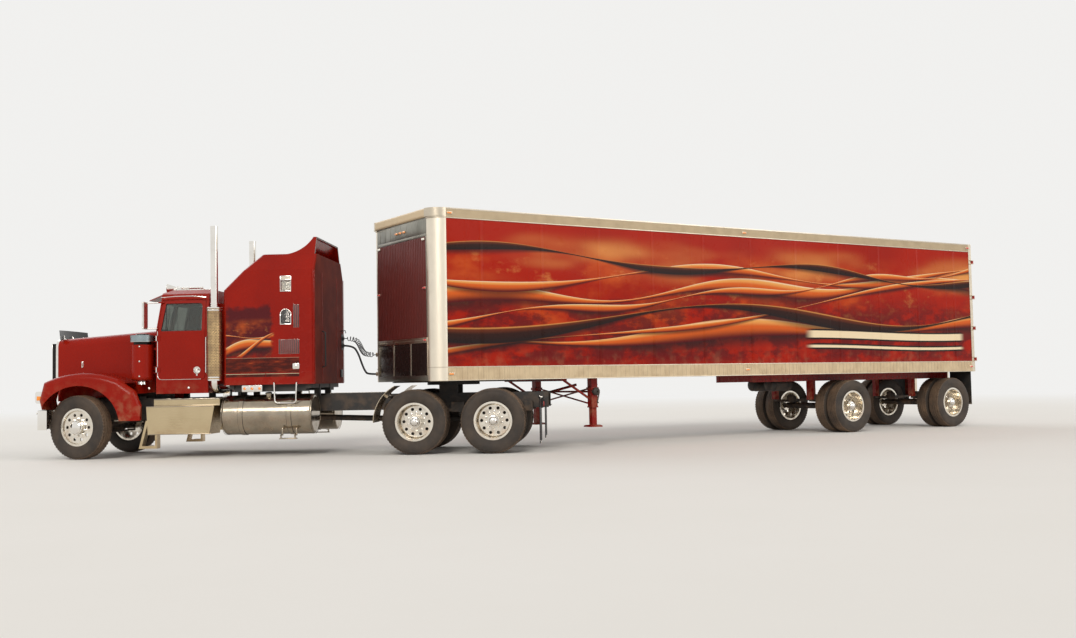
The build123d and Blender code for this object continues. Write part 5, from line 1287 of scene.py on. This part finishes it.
def arch(radius, foot):
    """The vent hood's outline, from its front foot over the top to its rear foot."""
    return [(arch_x + radius, foot), (arch_x + radius, arch_z)] + arc((arch_x, arch_z), radius, 0, 180, 12) + [
        (arch_x - radius, foot)]


form, skin = Form(), sleeper_y
for side in form.both_sides():
    # The vent hood: its dark field, its rim and its louvres
    outer, inner = arch(arch_r, arch_foot), arch(arch_r - arch_wall, arch_foot + arch_wall)
    form.use(1).side_slab(inner, (skin - 2, skin + 4))
    form.use(0)
    for a, b, c, d in zip(outer, outer[1:], inner[1:], inner):
        if (Vector(a) - Vector(b)).length > 1 and (Vector(d) - Vector(c)).length > 1:
            form.side_slab([a, b, c, d], (skin - 2, skin + 12))
    form.side_slab([outer[0], outer[-1], inner[-1], inner[0]], (skin - 2, skin + 12))
    form.use(1)
    for z in range(2262, 2440, 22):
        form.side_slab([(2726, z), (2586, z), (2586, z + 9), (2726, z + 9)], (skin, skin + 9))
    # Two panels of upright louvres
    for left, base, right, top in ((2424, 2170, 2538, 2565), (2424, 1725, 2786, 1973)):
        for x in range(left + 14, right - 10, 36):
            form.use(1).side_slab(rounded(x - 9, base, x + 9, top, 8, 3), (skin - 2, skin + 2.5))
            form.use(2).side_slab([(x + 9, base), (x + 15, base), (x + 15, top), (x + 9, top)],
                                  (skin - 2, skin + 7))
    # The window's frame and blind
    form.use(0)
    for x, z in (((2558, 2748), (2786, 2798)), ((2558, 2748), (2977, 2989)), ((2558, 2748), (3040, 3052)),
                 ((2558, 2568), (2798, 3040)), ((2738, 2748), (2798, 3040))):
        form.block(x, (skin - 2, skin + 9), z)
    form.use(4).block((2568, 2738), (skin - 2, skin + 4), (2989, 3040))
    for z in range(2806, 2972, 20):
        form.block((2560, 2745), (skin - 34, skin - 31), (z, z + 17))
    # The locker's latch, the plate with three lamps, and the grab bar under it
    form.use(0).side_slab(rounded(2426, 1470, 2540, 1566, 16), (skin - 2, skin + 9))
    form.lathe([(0, 0), (0, 24), (8, 22), (10, 0)], (2483, skin + 9, 1518), outwards, 16)
    form.side_slab(rounded(3064, 1098, 3413, 1206, 12), (1110, 1136))
    for x in (3110, 3238, 3366):
        form.use(3).lathe([(0, 0), (0, 26), (14, 20), (18, 0)], (x, 1136, 1152), outwards, 14)
    form.use(0).tube([(2852, 1122, 1262), (2852, 1165, 1240), (2838, 1168, 930), (2800, 1168, 900),
                      (2520, 1168, 900), (2482, 1168, 930), (2470, 1165, 1240), (2470, 1122, 1262)], 13)
form.make("sleeper_fittings", "tractor", (chrome, black_trim, plain_paint, amber, blind), "bright_chrome",
          bevel=1.2)
form = Form()
for side in form.both_sides():
    for x, proud, z in (((2175, 3725), 4, (1216, 1232)), ((2175, 3725), 3, (1408, 1420)),
                        ((2175, 2189), 3, (1232, 3150)), ((3000, 3006), 3, (1232, 1410))):
        form.block(x, (sleeper_y - 2, sleeper_y + proud), z)
for y in (-1119, -560, 560, 1112):
    form.block((sleeper_x - 4, sleeper_x + 3), (y, y + 8), (1225, 3140))
form.make("sleeper_seams", "tractor", plain_paint, "cab_paint", bevel=1)
# Sleeper's back: plug panel with the lines' sockets, grab bar and line holder
form = Form().block((sleeper_x - 6, sleeper_x + 2), (-1085, -905), (1840, 2125))
for z in socket_heights:
    form.lathe([(0, 0), (0, 52), (10, 50), (16, 36), (30, 34), (34, 0)],
               (sleeper_x - 4, plug_y, z), rearwards, 18)
form.block((sleeper_x - 24, sleeper_x), (-930, -790), (1330, 1470))
form.tube([(sleeper_x - 4, 600, 1500), (sleeper_x - 60, 600, 1520), (sleeper_x - 60, 600, 2100),
           (sleeper_x - 4, 600, 2120)], 13)
form.tube([(sleeper_x - 4, -840, 2180), (sleeper_x - 90, -840, 2190), (sleeper_x - 100, -840, 2140)], 9, 6)
form.make("back_fittings", "tractor", black_trim, "chassis_steel", bevel=3)

# Tanks: end seams, caps, hang-on step, strap pads
form = Form()
for side in form.both_sides():
    for x in (2224, 2262, 3712, 3752):
        form.ring(334, 338, -5, 5, (x, tank_y, tank_z), forwards, 56)
    form.rod((2990, tank_y + 120, 1010), (2990, tank_y + 134, 1062), 50, 24)
    form.rod((2990, tank_y + 134, 1062), (2990, tank_y + 138, 1078), 58)
    # The step that hangs under the tank
    for x in (2490, 2730):
        for y, z in (((1088, 1112), (352, 474)), ((1088, 1215), (352, 380)), ((1190, 1215), (300, 380))):
            form.block((x - 12, x + 12), y, z)
    form.block((2462, 2758), (1130, 1222), (296, 312))
    for x in range(2480, 2750, 30):
        form.block((x - 4, x + 4), (1136, 1216), (311, 317))
form.make("tank_trim", "tractor", polished, "polished_aluminium", bevel=2)
form = Form()
for side in form.both_sides():
    for x in (3430, 2600):
        for shift in (-38, 38):
            form.ring(335, 340, -5, 5, (x + shift, tank_y, tank_z), forwards, 56)
        form.rod((x, tank_y - 250, 975), (x, tank_y - 300, 1010), 9, 6)
form.make("strap_pads", "tractor", flap, "flap_rubber")

# Step boxes: lips, edge trims and tread strips
form = Form()
for side in form.both_sides():
    for x, y, z in (((3876, 5030), (1198, 1208), (866, 880)), ((3920, 4990), (1198, 1206), (402, 414)),
                    ((3803, 4934), (1106, 1116), (984, 1002)), ((3803, 4934), (1106, 1114), (890, 900))):
        form.block(x, y, z)
    for x in range(3900, 4850, 190):
        form.block((x, x + 140), (900, 1090), (1000, 1006))
    for y in range(1060, 1190, 26):
        form.block((4858, 5012), (y, y + 8), (212, 221))
form.make("step_trim", "tractor", polished, "polished_aluminium", bevel=2)

# Deck ribs, tail lamps, flap weights, rail bolts
form = Form().block((1170, 1190), (-360, 360), (1040, 1047))
repeated(form, "deck_ribs", "tractor", polished, 16, (60, 0, 0), bevel=1.5)
form = Form()
for y in (-520, -400, 400, 520):
    at = (-1640, y, 800)
    form.use(0).lathe([(-2, 0), (-2, 58), (16, 58), (18, 50), (18, 0)], at, rearwards, 20)
    form.use(1).lathe([(16, 0), (16, 50), (26, 42), (30, 0)], at, rearwards, 20)
form.use(0).block((-1642, -1630), (-640, 640), (730, 870))
form.make("tail_lamps", "tractor", (black_trim, lamp_red), "lamp_housing", bevel=2)
form = Form()
for side in form.both_sides():
    form.block((-1644, -1630), (640, 1195), (168, 200))
    form.block((-1645, -1622), (625, 1212), (905, 945))
    for y in (700, 860, 1020, 1160):
        form.lathe([(0, 0), (0, 12), (7, 10), (8, 0)], (-1644, y, 924), rearwards, 6)
form.make("flap_trim", "tractor", chrome, "bright_chrome", bevel=2)
form = Form()
for side in form.both_sides():
    form.block((-12690, -12662), (592, 1178), (1255, 1300))
    form.block((-12688, -12664), (610, 1160), (484, 512))
form.make("trailer_flap_trim", "trailer", trim, "trailer_aluminium", bevel=2)
for hand, side in hands:
    form = Form(side).lathe([(-1, 0), (-1, 12), (8, 11), (9, 0)], (-1450, 432, 960), outwards, 6)
    repeated(form, f"rail_bolts_{hand}", "tractor", chassis, 50, (160, 0, 0), 2, (0, 0, -170))


# Lines from the sleeper to the trailer: a coiled one and a wrapped one, on the part's own routes
def off_corner(out, z):
    """A place straight out from the trailer's right corner, where the couplings are."""
    reach = (240.3 + out) * cos(radians(45))
    return TRAILER @ Vector((corner_x + reach, -corner_y - reach, z))


def route_line(name, points, step):
    """Even points along the smooth line that the route's points control."""
    data = bpy.data.curves.new(name, "CURVE")
    data.dimensions, data.resolution_u = "3D", 24
    spline = data.splines.new("NURBS")
    spline.points.add(len(points) - 1)
    for point, at in zip(spline.points, points):
        point.co = (*at, 1)
    spline.order_u = 3
    spline.use_endpoint_u = True
    carrier = placed(name, data)
    graph = bpy.context.evaluated_depsgraph_get()
    mesh = bpy.data.meshes.new_from_object(carrier.evaluated_get(graph))
    line = [v.co.copy() for v in mesh.vertices]
    bpy.data.objects.remove(carrier)
    bpy.data.meshes.remove(mesh)
    runs = [(b - a).length for a, b in zip(line, line[1:])]
    count = max(2, round(sum(runs) / step))
    even, walked, i = [line[0]], 0.0, 0
    for k in range(1, count):
        want = sum(runs) * k / count
        while walked + runs[i] < want:
            walked += runs[i]
            i += 1
        even.append(line[i].lerp(line[i + 1], (want - walked) / runs[i]))
    return even + [line[-1]]


def declare_line(form, name, node, line, path):
    """A line that stands for its CAD node and stretches between the two vehicles; its length is summed but not
    kept.
    """
    piece = form.solid(name, Matrix.Identity(4), line_rubber, angle=1.2)
    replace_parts(piece, node)
    tuple(line[0])
    tuple(line[-1])
    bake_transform(piece)
    length = sum((b - a).length for a, b in zip(path, path[1:]))
    tuple(path[0])
    [tuple(q) for q in path]


plug_x = sleeper_x - 0.3
coil_route = [TRACTOR @ Vector((plug_x, plug_y, socket_heights[0])), TRACTOR @ Vector((1925, plug_y, 2050)),
              TRAILER @ Vector((985, -1730, 1920)), TRAILER @ Vector((1020, -1540, 1800)),
              off_corner(230, 1720), off_corner(0, coupling_heights[0])]
hose_route = [TRACTOR @ Vector((plug_x, plug_y, socket_heights[1])), TRACTOR @ Vector((1965, plug_y, 1915)),
              TRAILER @ Vector((985, -1800, 1760)), TRAILER @ Vector((985, -1640, 1560)),
              TRAILER @ Vector((1000, -1460, 1420)), off_corner(200, 1370), off_corner(0, coupling_heights[1])]

# The coiled one, in metres: straight for the first and last part of its way
turns, coil_r, wire_r, plain_part, run_in = 17, 0.040, 0.0072, 0.07, 0.03
coil_line = route_line("coil_route", coil_route, 0.0045)
helix = []
for i, (at, side, other) in enumerate(frames_along(coil_line)):
    along = i / (len(coil_line) - 1)
    grow = min(1.0, max(0.0, (along - plain_part) / run_in), max(0.0, (1 - plain_part - along) / run_in))
    angle = 2 * pi * turns * max(0.0, min(1.0, (along - plain_part) / (1 - 2 * plain_part)))
    helix.append(at + (side * cos(angle) + other * sin(angle)) * coil_r * grow)
form = Form().tube(helix, wire_r)
declare_line(form, "coiled_air_line", "coiled_line", coil_line, helix)

# The wrapped one, in metres: a ridge winds round it
hose_r, ridge_high, wrap_step, hose_parts, hose_step = 0.0172, 0.0028, 0.034, 14, 0.006
hose_line = route_line("hose_route", hose_route, hose_step)
points = []
for i, (at, side, other) in enumerate(frames_along(hose_line)):
    for k in range(hose_parts):
        angle = 2 * pi * k / hose_parts
        ridge = max(0.0, cos(angle - 2 * pi * i * hose_step / wrap_step)) ** 3
        points.append(at + (side * cos(angle) + other * sin(angle)) * (hose_r + ridge_high * ridge))
ends = [tuple(reversed(range(hose_parts))), tuple(range(len(points) - hose_parts, len(points)))]
form = Form().add(points, bands(len(hose_line), hose_parts) + ends)
declare_line(form, "wrapped_lines", "wrapped_hose", hose_line, hose_line)


# Seats: crowned, channelled pads over the CAD's seat blocks
def pad(name, low, high, axis, channels=(-0.36, 0.36)):
    """A stuffed pad between two corners in the tractor's millimetres, crowned towards one axis."""
    bm = bmesh.new()
    bmesh.ops.create_cube(bm, size=2)
    bmesh.ops.subdivide_edges(bm, edges=bm.edges, cuts=26, use_grid_fill=True)
    across, along = 1, (2 if axis == 0 else 0)
    middle, half = (Vector(low) + Vector(high)) / 2, (Vector(high) - Vector(low)) / 2
    for vert in bm.verts:
        p = vert.co.copy()
        p *= max(abs(c) for c in p) / sum(abs(c) ** 9 for c in p) ** (1 / 9)
        if p[axis] > 0.2:
            p[axis] += 0.16 * (1 - p[across] ** 2) * (1 - p[along] ** 2)
            for place in channels:
                p[axis] -= 0.13 * exp(-((p[across] - place) / 0.05) ** 2) * (1 - p[along] ** 6)
            p[axis] -= 0.09 * exp(-((p[along] - 0.55) / 0.04) ** 2)
        p[across] *= 1 - 0.03 * (1 - p[along] ** 2)
        p[along] *= 1 - 0.02 * (1 - p[across] ** 2)
        vert.co = TRACTOR @ Vector([middle[i] + half[i] * p[i] for i in range(3)])
    mesh = bpy.data.meshes.new(name)
    bm.to_mesh(mesh)
    bm.free()
    mesh.polygons.foreach_set("use_smooth", [True] * len(mesh.polygons))
    mesh.materials.append(seat_cloth)
    piece = placed(name, mesh)
    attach(piece, "tractor")


for hand, side in hands:
    low, high = sorted((side * 218, side * 742))
    pad(f"seat_cushion_{hand}", (4208, low, 1388), (4714, high, 1532), 2)
    pad(f"seat_back_{hand}", (4136, low, 1470), (4274, high, 2134), 0)

low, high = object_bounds()
{"cad": [list(cad_low), list(cad_high)], "visual": [list(low), list(high)]}
